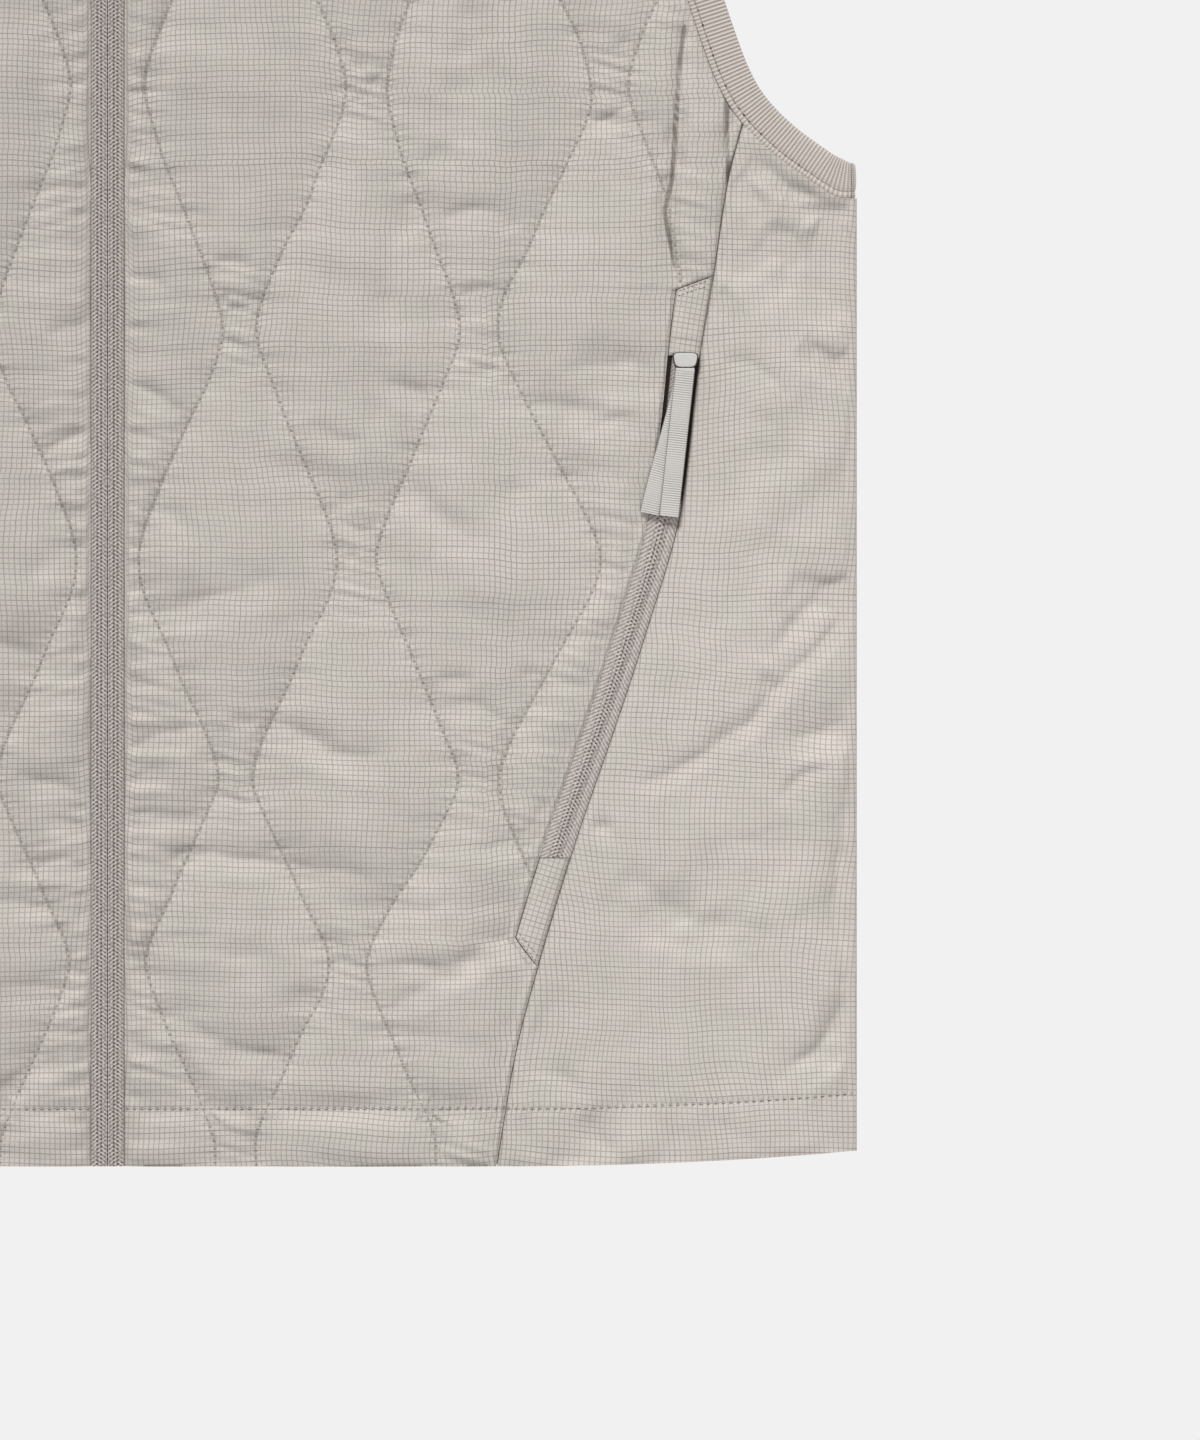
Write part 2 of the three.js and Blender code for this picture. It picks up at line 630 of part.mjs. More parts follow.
const SLIDER_HEIGHT = 2.4;
const POCKET_SLIDER = { x: 225.2, y: 314.4, width: 10.6, length: 6 };
const FRONT_SLIDER = { x: 0, y: 593.2, width: 9.5, length: 10.4 };
const POCKET_PULL_LOWER = [
  { x: 225, y: 310 },
  { x: 222.4, y: 297 },
  { x: 218.6, y: 283 },
  { x: 214.6, y: 268 },
  { x: 211.2, y: 254.3 },
];
const POCKET_PULL_UPPER = [
  { x: 225, y: 310 },
  { x: 223.6, y: 297 },
  { x: 222, y: 283 },
  { x: 220.4, y: 268 },
  { x: 218.8, y: 253.2 },
];
const FRONT_PULL_LOWER = [
  { x: 0, y: 586 },
  { x: -0.2, y: 572 },
  { x: -1, y: 556 },
  { x: -2, y: 540 },
  { x: -2.6, y: 530 },
];
const FRONT_PULL_UPPER = [
  { x: 0, y: 586 },
  { x: 0.3, y: 572 },
  { x: 1, y: 556 },
  { x: 1.8, y: 540 },
  { x: 2.2, y: 529 },
];
const SLIDER_Z = FRONT_UNDER + TAPE_WALL + COIL_RISE + SEAM_GAP;
const PULL_Z = 5.6; // middle of a pull's lower leg, clear of the quilting beside the zip

// Finishes
const finish = (color, roughness) => new THREE.MeshStandardMaterial({ color, roughness, metalness: 0 });
const BODY_CLOTH = finish(0xcdc6c0, 0.75);
const RIB_KNIT = finish(0xc3bbb2, 0.95);
const ZIP_TAPE = finish(0xa89e9a, 0.9);
const GROSGRAIN = finish(0xcdcdc8, 0.85);
const SLIDER_PLASTIC = finish(0xc6c4bf, 0.5);

function piece(name, geometry, material) {
  const mesh = new THREE.Mesh(geometry, material);
  mesh.name = name;
  return mesh;
}

// Everything that the vest has once on each side, built for the wearer's left
function sidePieces(side) {
  const pocketPull = foldedRibbon(POCKET_PULL_LOWER, POCKET_PULL_UPPER, PULL_Z);
  const group = new THREE.Group();
  group.add(
    piece("front_panel_" + side, frontPanel(), BODY_CLOTH),
    piece("side_panel_" + side, sidePanel(), BODY_CLOTH),
    piece("armhole_binding_" + side, armholeBinding(), RIB_KNIT),
    piece("front_zip_tape_" + side, frontZipTape(), ZIP_TAPE),
    piece("pocket_zip_" + side, pocketZip(), ZIP_TAPE),
    piece("pocket_upper_tab_" + side, pocketUpperTab(), BODY_CLOTH),
    piece("pocket_lower_tab_" + side, pocketLowerTab(), BODY_CLOTH),
    piece("pocket_slider_" + side, slider(POCKET_SLIDER), SLIDER_PLASTIC),
    piece("pocket_pull_" + side, pocketPull, GROSGRAIN),
  );
  return group;
}

const vest = new THREE.Group();
const leftSide = sidePieces("left");
const rightSide = sidePieces("right");
rightSide.scale.x = -1;
vest.add(
  leftSide,
  rightSide,
  piece("back_panel", backPanel(), BODY_CLOTH),
  piece("neck_binding", neckBinding(), RIB_KNIT),
  piece("front_zip_slider", slider(FRONT_SLIDER), SLIDER_PLASTIC),
  piece("front_zip_pull", foldedRibbon(FRONT_PULL_LOWER, FRONT_PULL_UPPER, PULL_Z), GROSGRAIN),
);

// The origin goes below the middle of the vest's box
const box = new THREE.Box3().setFromObject(vest);
vest.position.y = -(box.min.y + box.max.y) / 2;

export default vest;
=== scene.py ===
"""Dresses a quilted vest that lies flat on its back with its front up, and sets its light and camera.

Shapes are worked out in millimetres on the vest's own plan: X from the centre front to the wearer's
left, Y from the hem up, Z up from the surface that the vest lies on. Cut places each finished mesh in
the frame, in metres.
"""

from __future__ import annotations

import logging
import math
from dataclasses import dataclass, field
from enum import Enum
from typing import Callable, Sequence

import bpy
import numpy as np
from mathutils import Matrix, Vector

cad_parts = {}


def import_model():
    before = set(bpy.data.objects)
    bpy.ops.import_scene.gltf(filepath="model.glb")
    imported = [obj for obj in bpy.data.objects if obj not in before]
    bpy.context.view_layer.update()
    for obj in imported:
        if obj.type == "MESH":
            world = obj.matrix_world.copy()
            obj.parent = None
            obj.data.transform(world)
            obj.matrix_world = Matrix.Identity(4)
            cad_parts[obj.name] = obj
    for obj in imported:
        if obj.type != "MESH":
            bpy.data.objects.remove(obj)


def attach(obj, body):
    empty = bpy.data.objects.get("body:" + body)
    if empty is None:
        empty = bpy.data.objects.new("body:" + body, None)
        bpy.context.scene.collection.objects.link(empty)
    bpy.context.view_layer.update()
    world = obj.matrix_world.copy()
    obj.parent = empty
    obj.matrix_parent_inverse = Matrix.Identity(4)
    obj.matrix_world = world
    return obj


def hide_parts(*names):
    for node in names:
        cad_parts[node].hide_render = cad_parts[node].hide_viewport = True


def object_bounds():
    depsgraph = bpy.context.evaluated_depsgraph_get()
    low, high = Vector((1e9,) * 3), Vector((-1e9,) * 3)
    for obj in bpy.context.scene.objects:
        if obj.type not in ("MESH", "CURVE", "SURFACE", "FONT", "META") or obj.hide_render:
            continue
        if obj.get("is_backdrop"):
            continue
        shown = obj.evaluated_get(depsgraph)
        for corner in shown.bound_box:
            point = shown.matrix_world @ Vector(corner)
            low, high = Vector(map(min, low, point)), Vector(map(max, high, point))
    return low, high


log = logging.getLogger("quilted_vest")

MM = 0.001
Array = np.ndarray

# Seams and sizes of the cut, which the solids share
HALF_WIDTH = 292.0
EDGE_X = 6.6
SEAM_GAP = 0.3
SHOULDER_SLOPE = math.radians(18)
SHOULDER_NECK = np.array([101.3, 685.7])
NECK_SEAM_FRONT = 586.0
NECK_SEAM_BACK = 656.0
HEM_LEVEL_X = 153.0
HEM_RISE = 6.2
HEM_DEPTH = 22.5
BACK_WALL = 2.0
SIDE_WALL = 1.3
STITCH_WALL = 1.8
PUFF = 4.3
PUFF_WIDTH = 79.0
SWELL_POWER = 0.6
FRONT_UNDER = BACK_WALL + SEAM_GAP
FOLD_RADIUS = 2.5
FOLD_RISE = 1.75
FOLD_X = HALF_WIDTH - FOLD_RADIUS
BINDING_WIDTH = 13.6
BINDING_WALL = 2.0
BAND_STITCH = 2.5
TAPE_WALL = 1.1
COIL_RISE = 0.6
POCKET_WIDTH = 11.7
POCKET_FLARE = 1.8
POCKET_FLARE_START = 297.0
RIBBON_WIDTH = 7.6
RIBBON_WALL = 0.9
SEAM_LOW, TAB_LOW, ZIP_LOW = 78.0, 89.0, 120.0
ZIP_HIGH, TAB_HIGH, SEAM_HIGH = 317.4, 341.6, 346.9
SEAM_MEET, BACK_MEET, NECK_ROW = 4, 3, 9
BACK_SEAM_HEM_X = 215.0

# Distances past every line of painted shade and past all sewing, and how high threads lie on the cloth
FAR = 9.0
UNSEWN = 40.0
STITCH_LIFT, HEM_STITCH_LIFT = 0.12, 0.15

SIDE_SEAM = np.array(
    [
        (151.5, 0), (159, 44.5), (167.7, 78), (182.1, 126), (197, 169.3), (211, 212.2),
        (222.7, 253.1), (230.5, 313.6), (236, 346.9), (241.8, 384.9), (247.4, 406.5),
    ]
)  # fmt: skip
ARMHOLE_SEAM = np.array(
    [
        (289.5, 377.4), (283, 378.3), (271.5, 385.7), (259, 395), (247.4, 406.5), (239, 419.5),
        (231.5, 438.5), (220.5, 473), (209.5, 513), (202.3, 552), (199.5, 590), (202.5, 625),
        (210.5, 650.2),
    ]
)  # fmt: skip
TURN_HEIGHTS = (6, 78.4, 150.5, 236.3, 326, 419.6, 513, 606.5, 700)


class Side(Enum):
    """The half of the vest that a piece is on, as the sign of its X."""

    LEFT = 1
    RIGHT = -1

    @property
    def word(self) -> str:
        """The side's word in the names of pieces."""
        return self.name.lower()


@dataclass(frozen=True)
class QuiltLine:
    """A waving line of quilting: its distance from the centre front at each of its turns."""

    turns: tuple[float, ...]
    heights: tuple[float, ...] = TURN_HEIGHTS
    point: float = 0.93

    def x_at(self, y: Array) -> Array:
        """A rounded zigzag: between two turns, the arcsine of a flattened cosine.

        Args:
            y: heights up the panel.

        Returns:
            The line's distance from the centre front at each.
        """
        xs, ys = np.array(self.turns), np.array(self.heights)
        i = np.clip(np.searchsorted(ys, y) - 1, 0, len(ys) - 2)
        share = np.clip((y - ys[i]) / (ys[i + 1] - ys[i]), 0, 1)
        swing = np.arcsin(self.point * np.cos(np.pi * share)) / math.asin(self.point)
        waver = noise(y / 17, 0 * y, int(10 * xs[1])) * 0.8
        return (xs[i] + xs[i + 1]) / 2 + (xs[i] - xs[i + 1]) / 2 * swing + waver

    def beside(self, x: Array, y: Array) -> tuple[Array, Array]:
        """How far places lie from the line, and about how far along it.

        Args:
            x: places across the cloth.
            y: places up the cloth.

        Returns:
            The distance off the line, positive towards the side, and the distance along it.
        """
        slope = np.clip((self.x_at(y + 1) - self.x_at(y - 1)) / 2, -1, 1)
        off = (x - self.x_at(y)) / np.sqrt(1 + slope**2)
        return off, y * 1.08 + 0.4 * np.clip(off, -3, 3) * slope


QUILT_LINES = (
    QuiltLine((41.7, 14.8, 42.5, 11.7, 44.5, 14.4, 44.3, 14.3, 44.3)),
    QuiltLine((57.3, 85.8, 56.6, 89.7, 58.5, 93.2, 58.5, 92.9, 58.5)),
    QuiltLine((128, 101.4, 136.1, 105.3, 136.5, 108.8, 136.5, 108.5, 136.5)),
    QuiltLine((156, 178, 152.1, 191.9, 152.1, 188.8, 152.1, 188.5, 152.1)),
    QuiltLine(
        (222.6, 222.6, 222.6, 219.4, 203.6, 233.5, 203, 233.5),
        (0, 330, 346, 372, 419.6, 513, 606.5, 700),
    ),
)

# The sun's turn about Z, which also says which side of a crease is lit
LIGHT_TURN = math.radians(76)

# How far a crease reaches, in its widths, how fast each side of it fades, and how uneven it is
CREASE_REACH = 3
LIT_FADE, SHADE_FADE = 1.2, 0.55
CREASE_UNEVEN = 0.38


@dataclass(frozen=True)
class Crease:
    """A trough with a crisp bottom along a bent path on the plan, steeper on the side of the light."""

    path: tuple[tuple[float, float], ...]
    width: float
    depth: float

    def smooth_path(self) -> Array:
        """Close points of the path, rounded at its bends by a moving mean.

        Returns:
            The points, at most 2.5 mm apart.
        """
        corners = np.array(self.path, float)
        run = arc_length(corners)
        count = max(8, math.ceil(run[-1] / 2.5))
        at = np.linspace(0, run[-1], count + 1)
        line = np.stack([np.interp(at, run, corners[:, k]) for k in (0, 1)], -1)
        for _ in range(6):
            line[1:-1] = (line[:-2] + 2 * line[1:-1] + line[2:]) / 4
        return line

    def relief(self, x: Array, y: Array) -> Array:
        """Height that the crease adds: less a rounded cusp, which fades faster on the side of the light.

        Args:
            x: places across the cloth.
            y: places up the cloth.

        Returns:
            The added height, in millimetres, uneven along the path and faded towards its ends.
        """
        line = self.smooth_path()
        reach = CREASE_REACH * self.width
        (low_x, low_y), (high_x, high_y) = line.min(axis=0) - reach, line.max(axis=0) + reach
        near = (x > low_x) & (x < high_x) & (y > low_y) & (y < high_y)
        place = np.stack([x[near], y[near]], -1)[:, None]
        start, way = line[:-1][None], np.diff(line, axis=0)[None]
        share = np.clip(((place - start) * way).sum(-1) / (way**2).sum(-1), 0, 1)
        gap = np.linalg.norm(place - start - way * share[..., None], axis=-1)
        nearest = gap.argmin(axis=1)
        pick = np.arange(len(nearest)), nearest
        along = (nearest + share[pick]) / way.shape[1]
        off = gap[pick] / self.width
        ahead, since = way[0, nearest], place[:, 0] - start[0, nearest]
        turned = ahead[:, 0] * since[:, 1] - ahead[:, 1] * since[:, 0]
        whole = line[-1] - line[0]
        lit = turned * (math.sin(LIGHT_TURN) * whole[0] + math.cos(LIGHT_TURN) * whole[1]) > 0
        fade = np.where(lit, LIT_FADE, SHADE_FADE)
        cusp = np.exp(-fade * (np.sqrt(off**2 + 0.03) - 0.17)) * smooth_step(CREASE_REACH - off, 0, 1.5)
        uneven = 1 + CREASE_UNEVEN * noise(x[near] / 7 + 30, y[near] / 7 + 30, 7)
        total = np.zeros_like(x)
        total[near] = -self.depth * cusp * uneven * np.sin(np.pi * np.clip(along, 0, 1)) ** 0.5
        return total


def creased(creases: Sequence[Crease], x: Array, y: Array) -> Array:
    """Height that all the creases add, with their paths made to waver by two noises.

    Args:
        creases: the creases.
        x: places across the cloth.
        y: places up the cloth.

    Returns:
        The added height.
    """
    warped_x = x + 1.3 * noise(x / 10, y / 10, 5)
    warped_y = y + 1.3 * noise(x / 10, y / 10, 6)
    return sum(crease.relief(warped_x, warped_y) for crease in creases)


def lerp(a: Array | float, b: Array | float, t: Array | float) -> Array:
    """The value that share t lies on the way from a to b."""
    return a + (b - a) * t


def smooth_step(value: Array, low: float, high: float) -> Array:
    """A smooth rise from 0 at low to 1 at high."""
    t = np.clip((value - low) / (high - low), 0, 1)
    return t * t * (3 - 2 * t)


def bell(off: Array, reach: float) -> Array:
    """A bump of 1 at 0 that fades with the square of the distance, counted in reaches."""
    return np.exp(-((off / reach) ** 2))


def noise(x: Array, y: Array, seed: int) -> Array:
    """Smooth value noise from -1 to 1, with one random value at each whole number of x and y.

    Args:
        x: places along the first direction, in cells.
        y: places along the second direction, in cells.
        seed: which table of random values to use.

    Returns:
        The noise: the cell's four values blended by the fifth-power fade of the place in the cell.
    """
    table = np.random.default_rng(seed).uniform(-1, 1, (128, 128))
    x, y = np.broadcast_arrays(x, y)
    i, j = np.floor(x).astype(int), np.floor(y).astype(int)
    u, v = x - i, y - j
    u = u**3 * (u * (6 * u - 15) + 10)
    v = v**3 * (v * (6 * v - 15) + 10)
    low = lerp(table[i % 128, j % 128], table[(i + 1) % 128, j % 128], u)
    high = lerp(table[i % 128, (j + 1) % 128], table[(i + 1) % 128, (j + 1) % 128], u)
    return lerp(low, high, v)


def side_seam_x(y: Array) -> Array:
    """The seam between front and side panel: a cubic through its points with their mean slopes.

    Args:
        y: heights up the seam.

    Returns:
        The seam's X at each.
    """
    xs, ys = SIDE_SEAM.T
    y = np.asarray(y, float)
    padded_x = np.concatenate([xs[:1], xs, xs[-1:]])
    padded_y = np.concatenate([ys[:1], ys, ys[-1:]])
    slope = (padded_x[2:] - padded_x[:-2]) / (padded_y[2:] - padded_y[:-2])
    i = np.searchsorted(ys[1:-1], y)
    span = ys[i + 1] - ys[i]
    t = (y - ys[i]) / span
    bend = lerp(xs[i], xs[i + 1], t * t * (3 - 2 * t))
    return bend + span * (slope[i] * t * (1 - t) ** 2 - slope[i + 1] * t * t * (1 - t))


def pocket_x(y: Array) -> Array:
    """The left edge of the pocket: the side seam less the pocket's width, which flares at its top."""
    return side_seam_x(y) - POCKET_WIDTH - POCKET_FLARE * smooth_step(y, POCKET_FLARE_START, SEAM_HIGH)


def front_side_x(y: Array) -> Array:
    """The front panel's outer edge: the side seam, stepping back round the pocket by slanted ends.

    Args:
        y: heights up the panel.

    Returns:
        The edge's X at each.
    """
    seam, pocket = side_seam_x(y), pocket_x(y) - SEAM_GAP
    low = np.clip((y - SEAM_LOW) / (TAB_LOW - SEAM_LOW), 0, 1)
    high = np.clip((SEAM_HIGH - y) / (SEAM_HIGH - TAB_HIGH), 0, 1)
    return lerp(seam, pocket, np.minimum(low, high))


def armhole_at(row: Array) -> Array:
    """Points of the armhole's seam: the uniform cubic through its rows with half-chord slopes.

    Args:
        row: row numbers of ARMHOLE_SEAM, whole or not.

    Returns:
        One plan point for each number.
    """
    row = np.asarray(row, float)
    ends = 2 * ARMHOLE_SEAM[[0, -1]] - ARMHOLE_SEAM[[1, -2]]
    table = np.vstack([ends[:1], ARMHOLE_SEAM, ends[1:]])
    i = np.clip(np.floor(row).astype(int), 0, len(ARMHOLE_SEAM) - 2)
    t = (row - i)[..., None]
    a, b, c, d = (table[i + k] for k in range(4))
    return 0.5 * (2 * b + (c - a) * t + (2 * a - 5 * b + 4 * c - d) * t**2 + (3 * b - a - 3 * c + d) * t**3)


ALONG_SHOULDER = np.array([math.cos(SHOULDER_SLOPE), -math.sin(SHOULDER_SLOPE)])
OVER_SHOULDER = np.array([math.sin(SHOULDER_SLOPE), math.cos(SHOULDER_SLOPE)])


def neck_at(share: Array, start: tuple[float, float], level: float, reach: float) -> Array:
    """A neck seam: a Bezier curve, level at the centre and square to the shoulder at its end.

    Args:
        share: shares of the way from the centre to the shoulder.
        start: the seam's point at the centre.
        level: reach of its level handle.
        reach: reach of its handle at the shoulder.

    Returns:
        One plan point for each share.
    """
    t = np.asarray(share, float)[..., None]
    a = np.array(start)
    b = a + [level, 0]
    c = SHOULDER_NECK - reach * OVER_SHOULDER
    return (1 - t) ** 3 * a + 3 * t * (1 - t) ** 2 * b + 3 * t**2 * (1 - t) * c + t**3 * SHOULDER_NECK


def front_neck_at(share: Array) -> Array:
    """The front neck seam at shares of its way."""
    return neck_at(share, (EDGE_X, NECK_SEAM_FRONT), 44, 54)


def back_neck_at(share: Array) -> Array:
    """The back neck seam at shares of its way."""
    return neck_at(share, (0, NECK_SEAM_BACK), 58, 15)


def hem_y(x: Array) -> Array:
    """The hem's height: level, then rising with the square of the distance to the side."""
    return HEM_RISE * np.maximum(0, (x - HEM_LEVEL_X) / (HALF_WIDTH - HEM_LEVEL_X)) ** 2


def level_rows(pitch: float) -> Array:
    """Heights of level rows at most a pitch apart, with one at each height that a piece starts or ends.

    Args:
        pitch: the greatest distance of two rows.

    Returns:
        The heights, from 0 to the side seam's end.
    """
    marks = [0, HEM_DEPTH, SEAM_LOW, TAB_LOW, ZIP_LOW, ZIP_HIGH, TAB_HIGH, SEAM_HIGH, SIDE_SEAM[-1, 1]]
    parts = [
        np.linspace(low, high, math.ceil((high - low) / pitch) + 1)[1:]
        for low, high in zip(marks, marks[1:])
    ]
    return np.concatenate([[0.0], *parts])


def hem_shadow(off: Array) -> Array:
    """How far places count as lying from a line of painted shade, where the line is the hem's, fainter and
    finer.
    """
    return 0.35 + 1.6 * np.abs(off)


def painted_shade_line(away: Array, x: Array, y: Array) -> Array:
    """A map for a line of painted shade along a seam or fold: how far each place is from it, and how dark
    it is there.
    """
    return np.stack([away, 0.55 + 0.4 * noise(x / 9, y / 9, 44)], -1)


def arc_length(points: Array) -> Array:
    """How far along a polyline each of its points lies."""
    steps = np.linalg.norm(np.diff(points, axis=0), axis=1)
    return np.concatenate([[0.0], np.cumsum(steps)])


def grid_faces(rows: int, columns: int, wrap: bool = False) -> Array:
    """Four-sided faces of a grid of points, numbered row by row.

    Args:
        rows: how many rows of points there are.
        columns: how many points there are in a row.
        wrap: whether the last column joins the first.

    Returns:
        The faces, turning from the way along a row to the way up the rows.
    """
    i, j = np.meshgrid(np.arange(rows - 1), np.arange(columns if wrap else columns - 1), indexing="ij")
    k = (j + 1) % columns
    quads = [i * columns + j, i * columns + k, (i + 1) * columns + k, (i + 1) * columns + j]
    return np.stack(quads, -1).reshape(-1, 4)


@dataclass
class Cut:
    """A shape on the vest's plan, in millimetres, ready to become a mesh in the frame.

    points are its corners, faces are tables of faces of equal size, and maps holds one place for each
    corner in each named map.
    """

    points: Array
    faces: list[Array]
    maps: dict[str, Array] = field(default_factory=dict)

    def object(self, name: str, material: bpy.types.Material, side: Side, sharp: float) -> bpy.types.Object:
        """Makes the mesh, mirrored for the right side, with its faces outwards.

        Args:
            name: the piece's name.
            material: its finish.
            side: the half of the vest that it is for.
            sharp: the angle in degrees past which an edge is sharp.

        Returns:
            The new object, at the origin.
        """
        points = self.points * [side.value, 1, 1]
        faces = [f[:, ::-1] if side is Side.RIGHT else f for f in self.faces]
        loops = np.concatenate([f.ravel() for f in faces])
        sizes = np.concatenate([np.full(len(f), f.shape[1]) for f in faces])
        mesh = bpy.data.meshes.new(name)
        mesh.vertices.add(len(points))
        mesh.vertices.foreach_set("co", ((points + [0, Vest.hem, 0]) * MM).ravel())
        mesh.loops.add(len(loops))
        mesh.loops.foreach_set("vertex_index", loops)
        mesh.polygons.add(len(sizes))
        mesh.polygons.foreach_set("loop_start", np.concatenate([[0], np.cumsum(sizes)[:-1]]))
        mesh.update(calc_edges=True)
        for title, places in self.maps.items():
            layer = mesh.uv_layers.new(name=title)
            layer.uv.foreach_set("vector", places[loops].astype(np.float32).ravel())
        mesh.validate()
        mesh.shade_smooth()
        mesh.set_sharp_from_angle(angle=math.radians(sharp))
        mesh.materials.append(material)
        piece = bpy.data.objects.new(name, mesh)
        bpy.context.scene.collection.objects.link(piece)
        return piece


def facing_out(points: Array, faces: list[Array]) -> list[Array]:
    """The faces of a closed shape, all turned round if they enclose a negative volume.

    Args:
        points: the corners.
        faces: tables of faces.

    Returns:
        The tables, with their faces outwards.
    """
    volume = 0.0
    for table in faces:
        corners = points[table]
        for k in range(1, table.shape[1] - 1):
            turned = np.cross(corners[:, k], corners[:, k + 1])
            volume += float((corners[:, 0] * turned).sum())
    return faces if volume > 0 else [f[:, ::-1] for f in faces]


def raised_panel(top: Array, under: float, maps: dict[str, Array]) -> Cut:
    """A closed panel: a shaped top over one flat underside, with an upright edge all round.

    Args:
        top: rows of points, each row straight in plan.
        under: height of the underside.
        maps: places of the top's points in each named map.

    Returns:
        The shape. The underside has a long face between the ends of two rows, and one face with all the
        edge's corners at the first and at the last row.
    """
    rows, columns = top.shape[:2]
    across, up = columns - 1, rows - 1
    index = np.arange(rows * columns).reshape(rows, columns)
    ring = np.concatenate([index[0, :-1], index[:-1, -1], index[-1, :0:-1], index[:0:-1, 0]])
    points = top.reshape(-1, 3)
    rim = points[ring] * [1, 1, 0] + [0, 0, under]
    below = rows * columns + np.arange(len(ring))
    after = np.roll(np.arange(len(ring)), -1)
    walls = np.stack([ring, below, below[after], ring[after]], -1)
    right = below[across : across + rows]
    left = np.concatenate([below[:1], below[: across + up + across - 1 : -1]])
    strips = np.stack([left[1:-2], left[2:-1], right[2:-1], right[1:-2]], -1)
    first = np.concatenate([[left[1], right[1]], below[across::-1]])
    last = np.concatenate([below[across + up : across + up + columns][::-1], [right[-2], left[-2]]])
    faces = [grid_faces(rows, columns), walls, strips, first[None], last[None]]
    full = {k: np.concatenate([m.reshape(-1, 2), m.reshape(-1, 2)[ring]]) for k, m in maps.items()}
    return Cut(np.concatenate([points, rim]), faces, full)


def loft(rings: Array, maps: dict[str, Array], caps: str = "flat") -> Cut:
    """A closed body through rings of points.

    Args:
        rings: one ring of points after another, all of equal length.
        maps: places of the rings' points in each named map.
        caps: flat for one face at either end, wall for a strip of faces between the two sides of a
            folded wall, or none where the last ring joins the first.

    Returns:
        The shape.
    """
    count, around = rings.shape[:2]
    points = rings.reshape(-1, 3)
    if caps == "none":
        faces = [grid_faces(count + 1, around, wrap=True) % len(points)]
    else:
        faces = [grid_faces(count, around, wrap=True)]
        ring = np.arange(around)
        if caps == "flat":
            ends = [ring[::-1][None], ring[None] + (count - 1) * around]
        else:
            i = np.arange(around // 2 - 1)
            near = np.stack([i, around - 1 - i, around - 2 - i, i + 1], -1)
            ends = [near, near[:, ::-1] + (count - 1) * around]
        faces += ends
    flat = {k: m.reshape(-1, 2) for k, m in maps.items()}
    return Cut(points, facing_out(points, faces), flat)


class Wire:
    """A shader socket on which Python's arithmetic adds Math nodes."""

    def __init__(self, tree: Tree, socket: bpy.types.NodeSocket) -> None:
        """Wraps an output socket of a tree's node."""
        self.tree = tree
        self.socket = socket

    def math(self, operation: str, *others: Wire | float) -> Wire:
        """Adds a Math node on this socket and the others, in that order."""
        return self.tree.math(operation, self, *others)

    def __add__(self, other: Wire | float) -> Wire:
        """Sum."""
        return self.math("ADD", other)

    __radd__ = __add__

    def __mul__(self, other: Wire | float) -> Wire:
        """Product."""
        return self.math("MULTIPLY", other)

    __rmul__ = __mul__

    def __sub__(self, other: Wire | float) -> Wire:
        """Difference."""
        return self.math("SUBTRACT", other)

    def __rsub__(self, other: float) -> Wire:
        """Difference from a number."""
        return self.tree.math("SUBTRACT", other, self)

    def __truediv__(self, other: Wire | float) -> Wire:
        """Quotient."""
        return self.math("DIVIDE", other)

    def fract(self) -> Wire:
        """The part after the point."""
        return self.math("FRACT")

    def abs(self) -> Wire:
        """The size without its sign."""
        return self.math("ABSOLUTE")

    def sin(self) -> Wire:
        """The sine."""
        return self.math("SINE")

    def wave(self, period: float, operation: str = "COSINE") -> Wire:
        """A wave between 0 and 1 that repeats after each period."""
        return (self * (2 * math.pi / period)).math(operation) * 0.5 + 0.5

    def off_half(self) -> Wire:
        """How far the part after the point is from a half."""
        return (self.fract() - 0.5).abs()

    def step(self, low: float, high: float) -> Wire:
        """A smooth rise from 0 at low to 1 at high, or a fall where high is below low.

        Args:
            low: the value that gives 0.
            high: the value that gives 1.

        Returns:
            The share of the way.
        """
        lo, hi, a, b = (low, high, 0.0, 1.0) if low < high else (high, low, 1.0, 0.0)
        node = self.tree.node(
            "ShaderNodeMapRange",
            {"interpolation_type": "SMOOTHSTEP"},
            {"Value": self, "From Min": lo, "From Max": hi, "To Min": a, "To Max": b},
        )
        return Wire(self.tree, node.outputs["Result"])


Value = Wire | float | tuple


